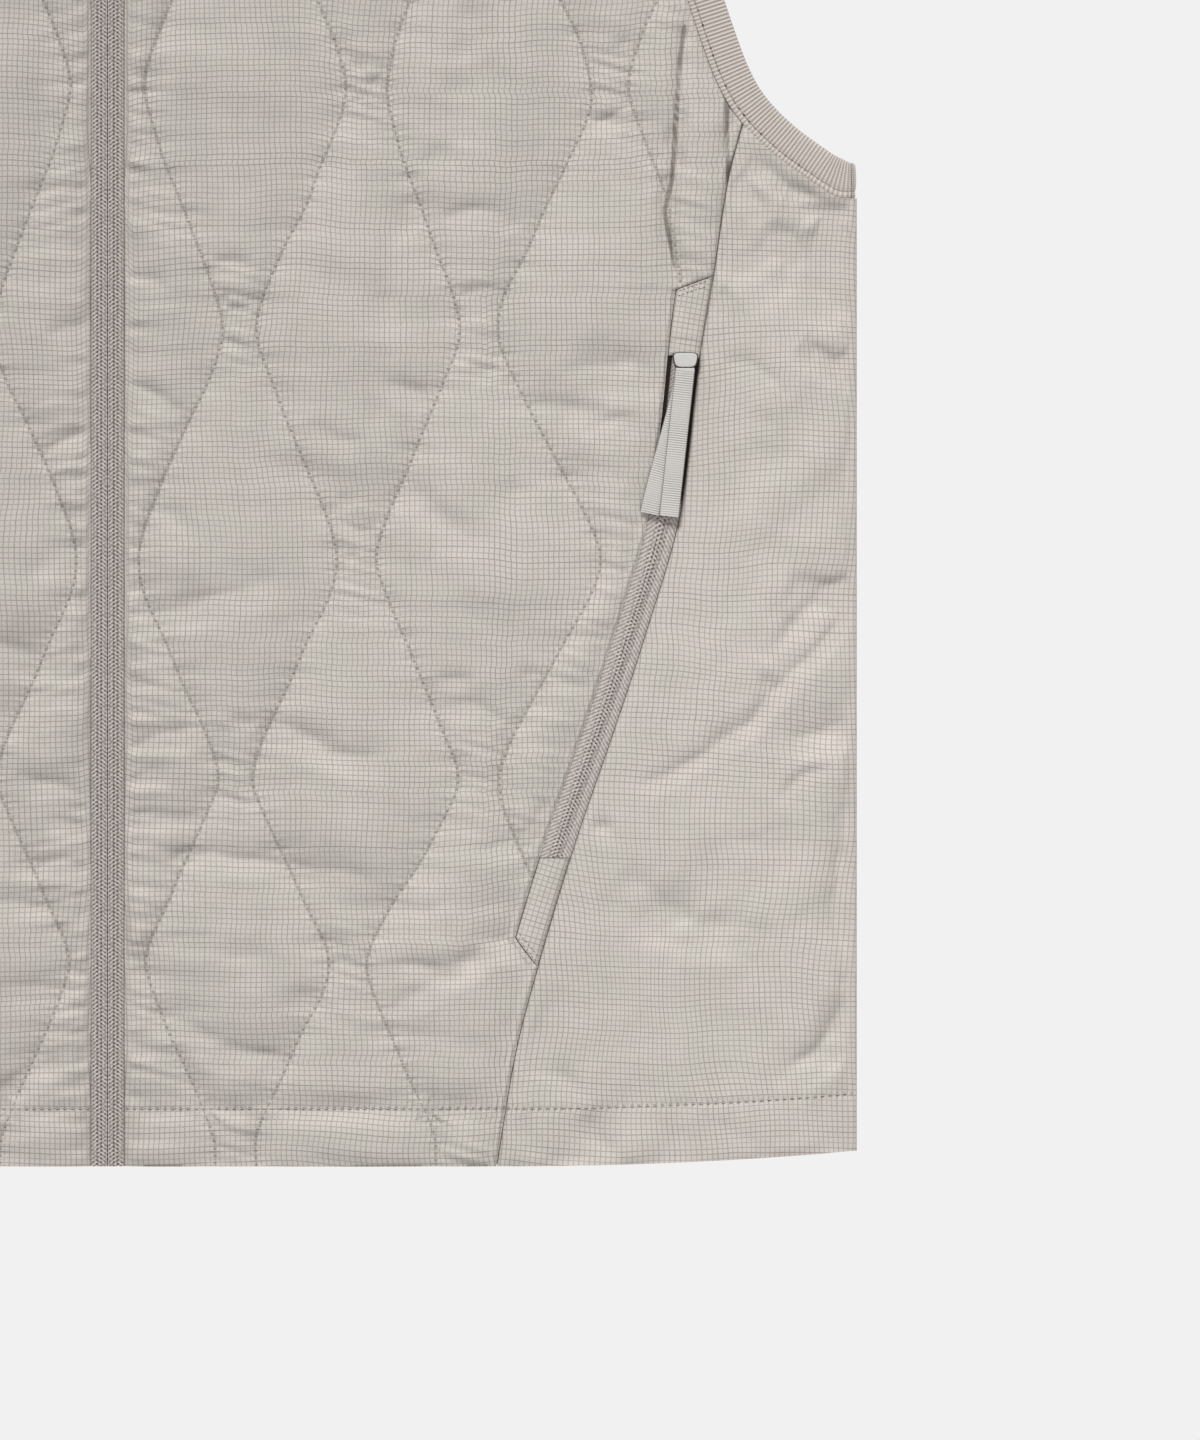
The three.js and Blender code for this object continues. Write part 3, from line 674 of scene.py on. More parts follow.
class Tree:
    """A material's node tree, with one method that adds any node."""

    def __init__(self, name: str) -> None:
        """Starts an empty material of that name."""
        self.material = bpy.data.materials.new(name)
        self.material.use_nodes = True
        self.nodes = self.material.node_tree.nodes
        self.nodes.clear()

    def node(self, kind: str, settings: dict | None = None, values: dict | None = None) -> bpy.types.Node:
        """Adds a node.

        Args:
            kind: the node's type.
            settings: its properties, set first.
            values: a number, colour or link for each named or numbered input.

        Returns:
            The node.
        """
        node = self.nodes.new(kind)
        for key, setting in (settings or {}).items():
            setattr(node, key, setting)
        for key, value in (values or {}).items():
            if isinstance(value, Wire):
                self.material.node_tree.links.new(value.socket, node.inputs[key])
            else:
                node.inputs[key].default_value = value
        return node

    def math(self, operation: str, *values: Wire | float) -> Wire:
        """Adds a Math node."""
        node = self.node("ShaderNodeMath", {"operation": operation}, dict(enumerate(values)))
        return Wire(self, node.outputs[0])

    def mix(self, share: Wire | float, low: Value, high: Value) -> Wire:
        """Mixes two colours, low where share is 0 and high where it is 1.

        Args:
            share: share of the second colour.
            low: the first colour.
            high: the second colour.

        Returns:
            The mixed colour.
        """
        settings = {"data_type": "RGBA", "clamp_factor": True}
        node = self.node("ShaderNodeMix", settings, {0: share, 6: low, 7: high})
        return Wire(self, node.outputs[2])

    def noise(self, place: Wire, scale: float, detail: float) -> Wire:
        """Noise from 0 to 1 at a place."""
        values = {"Vector": place, "Scale": scale, "Detail": detail}
        return Wire(self, self.node("ShaderNodeTexNoise", None, values).outputs[0])

    def object_place(self) -> Wire:
        """The place in the frame, in metres."""
        return Wire(self, self.node("ShaderNodeTexCoord").outputs["Object"])

    def map_place(self, title: str) -> tuple[Wire, Wire, Wire]:
        """The place in one of the piece's own maps, whole and as its two numbers.

        Args:
            title: the map's name.

        Returns:
            The place and its two numbers.
        """
        place = Wire(self, self.node("ShaderNodeUVMap", {"uv_map": title}).outputs[0])
        parts = self.node("ShaderNodeSeparateXYZ", None, {0: place})
        return place, Wire(self, parts.outputs[0]), Wire(self, parts.outputs[1])

    def finish(self, bump: Wire | None, depth: float, values: dict) -> bpy.types.Material:
        """Joins everything to a Principled surface.

        Args:
            bump: relief from 0 to 1, or None.
            depth: height in metres that 1 of the relief stands for.
            values: the surface's other inputs.

        Returns:
            The finished material.
        """
        if bump is not None:
            relief = self.node("ShaderNodeBump", None, {"Height": bump, "Distance": depth, "Strength": 1.0})
            values = values | {"Normal": Wire(self, relief.outputs[0])}
        surface = self.node("ShaderNodeBsdfPrincipled", None, values)
        self.node("ShaderNodeOutputMaterial", None, {"Surface": Wire(self, surface.outputs[0])})
        return self.material


def srgb(red: int, green: int, blue: int) -> tuple[float, float, float, float]:
    """A colour as seen on a screen, made linear."""
    shares = (c / 255 for c in (red, green, blue))
    return (*(c / 12.92 if c <= 0.04045 else ((c + 0.055) / 1.055) ** 2.4 for c in shares), 1.0)


@dataclass(frozen=True)
class Ripstop:
    """Thin ripstop: a square net of darker threads over two pale casts, with a faint sheen, and painted
    shade in its needle holes and along seams, the hem's stitching and deep folds.
    """

    pitch: float = 2.05
    thread: float = 0.42
    stitch: float = 3.0
    hole_shade_share: float = 0.52
    shade_line_reach: tuple[float, float] = (0.72, 0.25)
    relief: float = 0.0006
    rosy: tuple = srgb(208, 199, 193)
    mossy: tuple = srgb(202, 197, 189)
    net: tuple = srgb(153, 145, 139)
    # seam: colour of the painted shade in needle holes and along seams, the hem's stitching and deep folds
    seam: tuple = srgb(84, 74, 68)

    def net_share(self, tree: Tree, place: Wire, least: float) -> Wire:
        """How dark a thread of the net is at a place across the cloth, and 0 in its cells.

        Args:
            tree: the material's nodes.
            place: the place across these threads.
            least: how dark the faintest thread is. The others are darker at random, up to 1.

        Returns:
            The share of the net's colour.
        """
        thread = place / self.pitch + 0.5
        off = thread.off_half() * self.pitch
        number = {"W": thread.math("FLOOR")}
        chance = tree.node("ShaderNodeTexWhiteNoise", {"noise_dimensions": "1D"}, number)
        dark = Wire(tree, chance.outputs["Value"]) * (1 - least) + least
        return off.step(self.thread * 0.8, self.thread * 0.1) * dark

    def build(self) -> bpy.types.Material:
        """Makes the material from the maps cloth for the net, stitch for sewing and its painted needle-hole
        shade, and line for the painted shade along seams, the hem's stitching and deep folds.

        Returns:
            The material.
        """
        tree = Tree("ripstop")
        place, u, v = tree.map_place("cloth")
        _, off, run = tree.map_place("stitch")
        net = self.net_share(tree, u, 0.65).math("MAXIMUM", self.net_share(tree, v, 0.55))
        cast = tree.noise(tree.object_place(), 55, 3).step(0.38, 0.62)
        cell = tree.mix(cast, self.rosy, self.mossy)
        shade = tree.noise(place, 0.9, 2)
        color = tree.mix(net * (0.55 + shade * 0.7), cell, self.net)
        # painted shade in the needle holes of the stitching
        hole_shade = (run / self.stitch).off_half().step(0.27, 0.1) * off.step(1.0, 0.35)
        # painted shade along the seams, the hem's stitching and the deep folds, from the map line
        _, away, dark = tree.map_place("line")
        line = away.step(*self.shade_line_reach) * dark
        color = tree.mix((hole_shade * self.hole_shade_share).math("MAXIMUM", line), color, self.seam)
        near = (off * -0.42).math("EXPONENT")
        ripple = (run * (2 * math.pi / self.stitch)).sin() * near
        crumple = tree.noise(place, 0.12, 3)
        weave = tree.noise(place, 3.2, 1)
        bump = net * 0.1 + crumple * 0.6 + weave * 0.05 + ripple * 0.22
        values = {"Base Color": color, "Roughness": 0.62, "Sheen Weight": 0.18, "Sheen Roughness": 0.45}
        return tree.finish(bump, self.relief, values | {"Specular IOR Level": 0.35})


@dataclass(frozen=True)
class RibKnit:
    """Matt rib knit with fine ribs across the band, darker in the rib valleys as painted shade, with
    painted shade in its stitch holes and along its stitching.
    """

    pitch: float = 1.5
    loop: float = 0.9
    stitch: float = 3.1
    relief: float = 0.00028
    # high and low: the ribs' colour on their tops and, as painted shade, in their valleys
    high: tuple = srgb(219, 211, 204)
    low: tuple = srgb(177, 168, 160)
    # colour of the painted shade in the stitch holes and along the groove of the band's stitching
    stitch_hole_shade: tuple = srgb(72, 62, 56)

    def build(self) -> bpy.types.Material:
        """Makes the material, which reads the map cloth: across the band, then along it.

        Returns:
            The material.
        """
        tree = Tree("rib_knit")
        place, across, along = tree.map_place("cloth")
        rib = along.wave(self.pitch)
        loops = across.wave(self.loop, "SINE")
        fuzz = tree.noise(place, 2.2, 3)
        color = tree.mix(rib * 0.85 + loops * 0.12 + fuzz * 0.18 - 0.08, self.low, self.high)
        sewn = (across - BAND_STITCH).abs()
        # painted shade in the stitch holes and along the groove of the stitching
        spot = (along / self.stitch).off_half().step(0.2, 0.06) * sewn.step(0.6, 0.2)
        stitch_hole_shade = spot * tree.noise(place, 0.3, 1).step(0.4, 0.6) + sewn.step(0.4, 0.1) * 0.3
        color = tree.mix(stitch_hole_shade, color, self.stitch_hole_shade)
        bump = rib * 0.6 + loops * 0.2 + fuzz * 0.4
        values = {"Base Color": color, "Roughness": 0.92, "Sheen Weight": 0.12, "Specular IOR Level": 0.2}
        return tree.finish(bump, self.relief, values)


@dataclass(frozen=True)
class ZipTape:
    """Knitted zip tape: rows of small dark loops down it, darker with painted shade in their pits, and
    edges darkened with painted shade, near black with painted shadow where the pocket's mouth opens.
    """

    width: float = POCKET_WIDTH
    pitch: float = 1.5
    twill: float = 1.7
    wale: float = 1.15
    relief: float = 0.0003
    knit: tuple = srgb(208, 199, 194)
    # loop: the dark of the loops, painted shade in their pits, and the dark of the speckle's own tone
    loop: tuple = srgb(104, 96, 93)
    # edge: painted shade along the tape's edges
    edge: tuple = srgb(74, 66, 63)
    # gap: painted shadow in the pocket's open mouth
    gap: tuple = srgb(40, 33, 30)

    def build(self) -> bpy.types.Material:
        """Makes the material, which reads the map cloth: across the tape from its middle, then along.

        Returns:
            The material.
        """
        tree = Tree("zip_tape")
        place, across, along = tree.map_place("cloth")
        pair = across / self.pitch
        column = pair.off_half() * self.pitch
        row = (along / self.pitch + pair.math("FLOOR") * 0.5).off_half() * self.pitch
        inner = across.abs().step(1.8, 1.3) * 0.5 + 0.45
        # painted shade in the pits of the loops
        loop = column.step(0.5, 0.2) * row.step(0.5, 0.2) * across.abs().step(3.2, 2.9) * inner
        # painted shade along the tape's edges
        ends = across.abs().step(self.width * 0.39, self.width * 0.52)
        twill = (along + across.abs() * 0.9).wave(self.twill, "SINE")
        fuzz = tree.noise(place, 0.85, 2)
        speckle = (fuzz * 0.7 + twill * 0.3).step(0.32, 0.68)
        color = tree.mix(loop + speckle * 0.6, self.knit, self.loop)
        color = tree.mix(ends * 0.3, color, self.edge)
        # painted shadow in the pocket's open mouth, past the tape's edges where its map is stretched
        gap = across.step(6.2, 7.2).math("MAXIMUM", (across * -1).step(5.8, 6.8))
        color = tree.mix(gap, color, self.gap)
        bump = across.wave(self.wale) * 0.3 + twill * 0.3 + (1 - loop) * 0.6 + fuzz * 0.3
        values = {"Base Color": color, "Roughness": 0.9, "Specular IOR Level": 0.2}
        return tree.finish(bump, self.relief, values)


@dataclass(frozen=True)
class Grosgrain:
    """Matt ribbon with fine ribs across it, darker in the rib valleys as painted shade, with painted shade
    along its edges.
    """

    pitch: float = 0.9
    relief: float = 0.00018
    # high and low: the ribs' colour on their tops and, as painted shade, in their valleys
    high: tuple = srgb(217, 214, 209)
    low: tuple = srgb(187, 183, 179)
    # edge: painted shade along the ribbon's edges
    edge: tuple = srgb(84, 76, 72)

    def build(self) -> bpy.types.Material:
        """Makes the material, which reads the map cloth: across the ribbon, then along it.

        Returns:
            The material.
        """
        tree = Tree("grosgrain")
        place, across, along = tree.map_place("cloth")
        rib = along.wave(self.pitch)
        fuzz = tree.noise(place, 3.0, 2)
        color = tree.mix(rib * 0.8 + fuzz * 0.3 - 0.05, self.low, self.high)
        # painted shade along both edges of the ribbon
        color = tree.mix(across.abs().step(3.4, 3.75) * 0.75, color, self.edge)
        bump = rib * 0.7 + fuzz * 0.3
        values = {"Base Color": color, "Roughness": 0.8, "Specular IOR Level": 0.25}
        return tree.finish(bump, self.relief, values)


@dataclass(frozen=True)
class Moulded:
    """Satin moulded plastic of the sliders, in the shade round its rim."""

    color: tuple = srgb(212, 210, 206)
    rim: tuple = srgb(70, 64, 60)

    def build(self) -> bpy.types.Material:
        """Makes the material, which reads the map cloth for the share of the way out to the rim.

        Returns:
            The material.
        """
        tree = Tree("slider_plastic")
        _, out, _ = tree.map_place("cloth")
        grain = tree.noise(tree.object_place(), 900, 2)
        dark = tuple(c * 0.86 for c in self.color[:3]) + (1.0,)
        color = tree.mix(grain, dark, self.color)
        color = tree.mix(out.step(0.86, 0.93), color, self.rim)
        return tree.finish(grain, 0.00004, {"Base Color": color, "Roughness": 0.42})


@dataclass(frozen=True)
class Thread:
    """Dull sewing thread."""

    color: tuple = srgb(196, 188, 182)

    def build(self) -> bpy.types.Material:
        """Makes the material, with a fine twist on Object coordinates.

        Returns:
            The material.
        """
        tree = Tree("sewing_thread")
        twist = tree.noise(tree.object_place(), 2500, 1)
        dark = tuple(c * 0.7 for c in self.color[:3]) + (1.0,)
        color = tree.mix(twist, dark, self.color)
        return tree.finish(twist, 0.00005, {"Base Color": color, "Roughness": 0.7})


@dataclass
class StitchRuns:
    """Short raised stitches along seams, joined in one mesh."""

    pitch: float = 3.0
    length: float = 1.7
    width: float = 0.42
    height: float = 0.28
    runs: list[Array] = field(default_factory=list)

    def add(self, path: Array, keep: Array | None = None) -> None:
        """Sews along a path.

        Args:
            path: points on the cloth, close together.
            keep: whether each of them still lies on the piece that is sewn.
        """
        run = arc_length(path)
        count = int(run[-1] // self.pitch)
        at = (np.arange(count) + 0.5) * self.pitch
        ends = [
            np.stack([np.interp(at + shift, run, path[:, k]) for k in range(3)], -1)
            for shift in (-self.length / 2, self.length / 2)
        ]
        if keep is not None:
            there = np.interp(at, run, keep.astype(float)) > 0.99
            ends = [e[there] for e in ends]
        self.runs.append(np.stack(ends, 1))

    def cut(self) -> Cut:
        """All the stitches: each is a spindle of four sides, pointed at both ends.

        Returns:
            The joined shape. Its stations lie at 0, 22, 78 and 100 per cent of the stitch.
        """
        ends = np.concatenate(self.runs)
        start, run = ends[:, 0], ends[:, 1] - ends[:, 0]
        way = run / np.linalg.norm(run, axis=1, keepdims=True)
        across = np.stack([-way[:, 1], way[:, 0], np.zeros(len(way))], -1)
        across /= np.linalg.norm(across, axis=1, keepdims=True)
        up = np.cross(way, across)
        ring = [(-0.5, 0.0), (0.0, -0.5), (0.5, 0.0), (0.0, 1.0)]
        points = [start]
        for place in (0.22, 0.78):
            for side, rise in ring:
                offset = across * side * self.width + up * rise * self.height
                points.append(start + run * place + offset)
        points.append(start + run)
        table = np.stack(points, 1)
        base = np.arange(len(ends))[:, None, None] * table.shape[1]
        k = np.arange(4)
        n = (k + 1) % 4
        walls = np.stack([1 + k, 1 + n, 5 + n, 5 + k], -1)[None] + base
        near = np.stack([1 + n, 1 + k, 0 * k], -1)[None] + base
        far = np.stack([5 + k, 5 + n, 0 * k + 9], -1)[None] + base
        faces = [walls.reshape(-1, 4), near.reshape(-1, 3), far.reshape(-1, 3)]
        flat = table.reshape(-1, 3)
        return Cut(flat, facing_out(flat, faces))


class Vest:
    """What all the pieces share: where the hem lies in the frame, the finishes and the dressing calls.

    stuffs holds a material for the sewing and for each slot of the record, and the angle in degrees
    past which an edge of it is sharp.
    """

    hem: float = 0.0

    def __init__(self, low_y: float) -> None:
        """Notes the hem's place in the frame and builds every finish once."""
        Vest.hem = low_y / MM
        self.stuffs = {
            "body_cloth": (Ripstop().build(), 75),
            "rib_knit": (RibKnit().build(), 60),
            "zip_tape": (ZipTape().build(), 60),
            "ribbon": (Grosgrain().build(), 55),
            "slider_plastic": (Moulded().build(), 50),
            "sewing": (Thread().build(), 80),
        }

    def add(
        self, cut: Cut, name: str, side: Side, slot: str, *nodes: str, stuff: str = ""
    ) -> bpy.types.Object:
        """Makes a shape a piece that rides on the body, in place of its solids.

        Args:
            cut: the shape.
            name: the piece's name.
            side: the half of the vest that it is for.
            slot: the record's material slot.
            nodes: the solids that it stands for.
            stuff: its material, where that isn't the slot's.

        Returns:
            The piece.
        """
        material, sharp = self.stuffs[stuff or slot]
        piece = cut.object(name, material, side, sharp)
        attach(piece, "root")
        if nodes:
            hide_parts(*nodes)
        log.info("%s: %d faces", piece.name, len(piece.data.polygons))
        return piece

    def sew(self, runs: StitchRuns, name: str, side: Side, slot: str) -> None:
        """Makes all the stitches of the runs one piece of thread."""
        self.add(runs.cut(), name, side, slot, stuff="sewing")


CREASE_SHARE = 1.5
# Paths of the deep folds, along which the ripstop is darkened with painted shade; FRONT_CREASES holds their
# troughs
DEEP_FOLDS = (
    np.array([(223, 342), (220, 357), (217, 372), (220, 385), (222, 416), (223, 431), (226, 452)]),
    np.array([(241.8, 374), (241.8, 390), (241.3, 402), (241.3, 426)]),
)
FRONT_CREASES = (
    Crease(((7, 216), (18, 216), (44, 220)), 4.0, 1.0),
    Crease(((42, 205), (34, 190)), 4.0, 0.5),
    Crease(((4, 161), (18, 167), (34, 173)), 3.5, 1.3),
    Crease(((47, 173), (51, 175), (57, 171)), 2.0, 0.8),
    Crease(((58, 169), (68, 172), (74, 170), (86, 163), (109, 158)), 4.0, 1.8),
    Crease(((4, 152), (16, 154), (24, 152)), 2.6, 1.0),
    Crease(((4, 138), (20, 138), (39, 138)), 3.0, 1.1),
    Crease(((4, 121), (24, 119), (36, 122), (52, 120), (70, 118), (96, 115), (104, 108)), 3.2, 1.0),
    Crease(((92, 103), (114, 101), (140, 100), (159, 102)), 6.0, 0.9),
    Crease(((14, 89), (32, 90), (48, 88)), 3.0, 0.8),
    Crease(((28, 84), (51, 82), (76, 81)), 7.0, 0.9),
    Crease(((14, 58), (26, 58), (38, 53), (45, 46), (73, 42)), 4.5, 1.7),
    Crease(((69, 69), (84, 66)), 3.0, 0.8),
    Crease(((87, 82), (94, 80), (101, 78)), 2.5, 0.8),
    Crease(((104, 79), (118, 80), (129, 76), (136, 78), (146, 86), (161, 90)), 3.5, 1.3),
    Crease(((108, 60), (126, 71), (148, 84)), 3.0, 0.9),
    Crease(((111, 55), (126, 49), (141, 57)), 6.0, 0.5),
    Crease(((129, 191), (143, 190)), 2.5, 0.8),
    Crease(((130, 179), (144, 181), (154, 173)), 3.5, 1.2),
    Crease(((143, 459), (140, 431), (135, 398)), 6.0, 2.0),
    Crease(((135, 398), (126, 394), (122, 388)), 3.0, 0.9),
    Crease(((131, 370), (141, 373), (153, 372), (159, 366)), 3.5, 1.3),
    Crease(((118, 378), (112, 363), (109, 349), (106, 330), (104, 315), (105, 299), (105, 279)), 3.0, 1.4),
    Crease(((109, 307), (117, 303), (126, 297)), 3.0, 1.0),
    Crease(((79, 289), (86, 285), (99, 282)), 4.0, 1.0),
    Crease(((116, 268), (122, 261), (129, 257), (135, 248), (147, 242)), 4.0, 1.5),
    Crease(((138, 338), (144, 341), (153, 343)), 2.5, 0.9),
    Crease(((140, 308), (145, 310), (152, 312)), 2.5, 0.8),
    Crease(((4, 347), (13, 347), (23, 342)), 2.5, 1.2),
    Crease(((4, 307), (16, 303), (29, 294)), 3.0, 1.5),
    Crease(((23, 459), (23, 435), (20, 416)), 3.0, 1.0),
    Crease(((41, 351), (48, 353), (57, 351)), 3.0, 1.0),
    Crease(((21, 263), (26, 252), (32, 243)), 3.0, 0.8),
    Crease(((22, 221), (40, 221), (55, 225), (65, 230)), 4.0, 0.9),
    Crease(((94, 430), (101, 428)), 1.6, 0.7),
    Crease(((102, 422), (108, 425)), 1.6, 0.7),
    Crease(((94, 415), (101, 415)), 1.6, 0.7),
    Crease(((44, 339), (48, 337)), 1.6, 0.7),
    Crease(((46, 333), (57, 334)), 1.8, 0.9),
    Crease(((44, 322), (53, 321)), 1.6, 0.7),
    Crease(((89, 260), (95, 257)), 2.0, 0.9),
    Crease(((89, 252), (100, 246), (106, 248)), 2.0, 1.0),
    Crease(((92, 239), (97, 238)), 1.6, 0.7),
    Crease(((195, 434), (204, 439)), 2.2, 1.0),
    Crease(((187, 405), (196, 408), (205, 414)), 2.4, 1.0),
    Crease(((179, 312), (200, 312), (215, 312)), 6.0, 1.6),
    Crease(((166, 296), (180, 297), (195, 294)), 5.0, 1.3),
    Crease(((186, 286), (196, 291), (208, 292)), 4.0, 1.1),
    Crease(((177, 275), (192, 271), (202, 266)), 5.0, 0.9),
    Crease(((145, 265), (171, 263)), 6.0, 1.0),
    Crease(((160, 190), (168, 192)), 3.0, 0.9),
    Crease(((169, 191), (189, 185)), 4.0, 0.8),
    Crease(((158, 177), (177, 181)), 3.0, 0.6),
    Crease(((145, 124), (161, 128), (172, 141)), 3.0, 0.9),
    Crease(((226, 450), (223, 431), (222, 416), (220, 385), (217, 372), (220, 357), (223, 343)), 2.0, 2.0),
    Crease(((241, 415), (242, 390)), 1.5, 1.5),
    Crease(((4, 500), (30, 497), (60, 492)), 4.0, 1.4),
    Crease(((70, 540), (100, 549), (130, 552)), 5.0, 1.3),
    Crease(((120, 610), (150, 606), (170, 596)), 5.0, 1.4),
    Crease(((150, 500), (170, 509), (196, 512)), 4.0, 1.3),
    Crease(((110, 652), (150, 645), (190, 630)), 5.0, 1.2),
    Crease(((60, 478), (90, 471), (110, 474)), 4.0, 1.2),
    Crease(((4, 560), (24, 556), (40, 559)), 3.0, 1.3),
    Crease(((96, 580), (118, 572), (140, 575)), 4.0, 1.1),
)


@dataclass
class FrontPanel:
    """One quilted front panel, with its channels, puckers, creases and stitching."""

    side: Side
    pitch: float = 1.15
    arm_steps: int = 19
    channel_columns: int = 22
    line_phase: float = 37.0
    crossing: tuple[float, float] = (7.0, 2.4)
    hem_pinch: tuple[float, float] = (0.72, 5.5)
    groove: tuple[float, float] = (0.22, 0.6)
    rim_roll: tuple[float, float] = (1.1, 0.9)
    zip_roll: float = 0.8
    gather: float = 0.6
    least_wall: float = 0.35
    fold_fade: float = 8.0
    quilt_runs: list[tuple[Array, Array]] = field(default_factory=list)
    hem_run: Array | None = None
    top: Array | None = None

    def row_ends(self) -> tuple[Array, Array]:
        """Both ends of every row: level up to the side seam's end, then on the armhole and the neck.

        Returns:
            The inner and the outer ends.
        """
        y = level_rows(self.pitch)
        left = np.stack([np.full_like(y, EDGE_X), y], -1)
        right = np.stack([front_side_x(y), y], -1)
        top = len(ARMHOLE_SEAM) - 1
        row = SEAM_MEET + np.arange(1, (top - SEAM_MEET) * self.arm_steps + 1) / self.arm_steps
        arm = armhole_at(row)
        start_y = SIDE_SEAM[-1, 1]
        rise = np.minimum((arm[:, 1] - start_y) / (ARMHOLE_SEAM[NECK_ROW, 1] - start_y), 1)
        on_edge = np.stack([np.full_like(rise, EDGE_X), lerp(start_y, NECK_SEAM_FRONT, rise)], -1)
        neck = front_neck_at(np.clip((row - NECK_ROW) / (top - NECK_ROW), 0, 1))
        inner = np.where((row > NECK_ROW)[:, None], neck, on_edge)
        return np.concatenate([left, inner]), np.concatenate([right, arm])

    def stitch_places(self, left: Array, right: Array) -> tuple[Array, Array]:
        """Where the quilt lines cross each row, ends included, and whether each is still on the panel.

        Args:
            left: the rows' inner ends.
            right: their outer ends.

        Returns:
            X of each crossing, and whether it is on the panel.
        """
        places, there = [left[:, 0]], []
        for i, line in enumerate(QUILT_LINES):
            guess = line.x_at((left[:, 1] + right[:, 1]) / 2)
            share = np.clip((guess - left[:, 0]) / (right[:, 0] - left[:, 0]), 0, 1)
            x = line.x_at(lerp(left[:, 1], right[:, 1], share))
            least = left[:, 0] + 1.6 * (i + 1)
            most = right[:, 0] - 1.6 * (len(QUILT_LINES) - i)
            places.append(np.clip(x, least, most))
            there.append((x > least) & (x < most))
        places.append(right[:, 0])
        return np.stack(places, 1), np.stack(there, 1)

    def stitch_map(self, x: Array, y: Array) -> Array:
        """Distance to the nearest line of stitching, and how far along that line the place lies.

        Args:
            x: places across the cloth.
            y: places up the cloth.

        Returns:
            The map stitch. Where two lines cross, both count as farther away, so that no painted
            needle-hole shade shows.
        """
        best = np.full_like(x, 1e9)
        along = np.zeros_like(x)
        for i, line in enumerate(QUILT_LINES):
            off, run = line.beside(x, y)
            run = run + self.line_phase * i
            closer = np.abs(off) < best
            best = np.where(closer, np.abs(off), best)
            along = np.where(closer, run, along)
        hem = np.abs(y - HEM_DEPTH)
        away, reach = self.crossing
        crossing = away * bell(np.maximum(best, hem), reach)
        return np.stack([np.minimum(best, hem) + crossing, np.where(hem < best, x, along)], -1)

    def puckers(self, x: Array, y: Array, seed: int) -> Array:
        """Small ridges square to each line of stitching, which fade with the distance from it.

        Args:
            x: places across the cloth.
            y: places up the cloth.
            seed: the first of the noises' tables.

        Returns:
            The added height.
        """
        total = np.zeros_like(x)
        for i, line in enumerate(QUILT_LINES):
            off, run = line.beside(x, y)
            run = run + self.line_phase * i
            away = np.abs(off)
            total += noise(run / 2.5, off / 15 + 40, seed) * 0.36 * np.exp(-away / 4)
            total += noise(run / 5.2, off / 30 + 40, seed + 1) * 0.45 * np.exp(-away / 9)
        hem = y - HEM_DEPTH
        total += noise(x / 3.6, hem / 30 + 40, seed + 5) * 0.5 * np.exp(-np.abs(hem) / 6)
        return total

    def relief(self, x: Array, y: Array) -> Array:
        """Puckers at the stitching and the front edge, creases and soft crumples, added together.

        Args:
            x: places across the cloth.
            y: places up the cloth.

        Returns:
            The added height.
        """
        seed = 10 if self.side is Side.LEFT else 60
        pucker = self.puckers(x, y, seed)
        edge = x - EDGE_X
        at_edge = noise(y / 3.4, x / 34, seed + 2) * 1.2 * np.exp(-edge / 11) * smooth_step(edge, 0, 2)
        slant = y + 0.25 * x
        soft = noise(x / 30, slant / 19, seed + 3) * 0.8 + noise(x / 13, slant / 9, seed + 4) * 0.2
        shift = 0 if self.side is Side.LEFT else 19
        creases = creased(FRONT_CREASES, x, y + shift)
        return pucker + at_edge + soft + CREASE_SHARE * creases

    def swell(self, u: Array, wide: Array, y: Array, up: Array) -> Array:
        """Height of the padding: a power of the sine across a channel and a power of its width.

        Args:
            u: share of the way across the channel.
            wide: the channel's width.
            y: places up the cloth.
            up: share of the way up the panel's rows.

        Returns:
            The height, which falls off at the hem's stitching, at the first and last rows, and where a
            channel runs out.
        """
        pinch, reach = self.hem_pinch
        full = (1 - pinch * bell(y - HEM_DEPTH, reach)) * smooth_step(y, -10, 7)
        full = full * (1 - smooth_step(up, 0.975, 1.004)) * smooth_step(wide, 2, 9)
        swell = PUFF * np.minimum(1, wide / PUFF_WIDTH) ** SWELL_POWER
        return swell * np.sin(np.pi * u) ** 1.1 * full

    def shade_line_away(self, x: Array, y: Array, right_x: Array) -> Array:
        """How far places lie from the lines of painted shade: the deep folds, the side seam and the hem's
        stitching.

        Args:
            x: places across the cloth.
            y: places up the cloth.
            right_x: the panel's outer edge in each row. It takes no painted shade line beside the pocket's
                zip.

        Returns:
            The distance to the nearest line.
        """
        by_zip = (y > ZIP_LOW) & (y < ZIP_HIGH)
        lines = [right_x - x + np.where(by_zip, FAR, 0.3), hem_shadow(y - HEM_DEPTH)]
        for fold in DEEP_FOLDS:
            low, high = fold[0, 1], fold[-1, 1]
            in_fold = smooth_step(y, low, low + self.fold_fade)
            in_fold = in_fold * (1 - smooth_step(y, high - self.fold_fade, high))
            lines.append(np.abs(x - np.interp(y, fold[:, 1], fold[:, 0])) * 0.5 + FAR * (1 - in_fold))
        return np.minimum.reduce(lines)

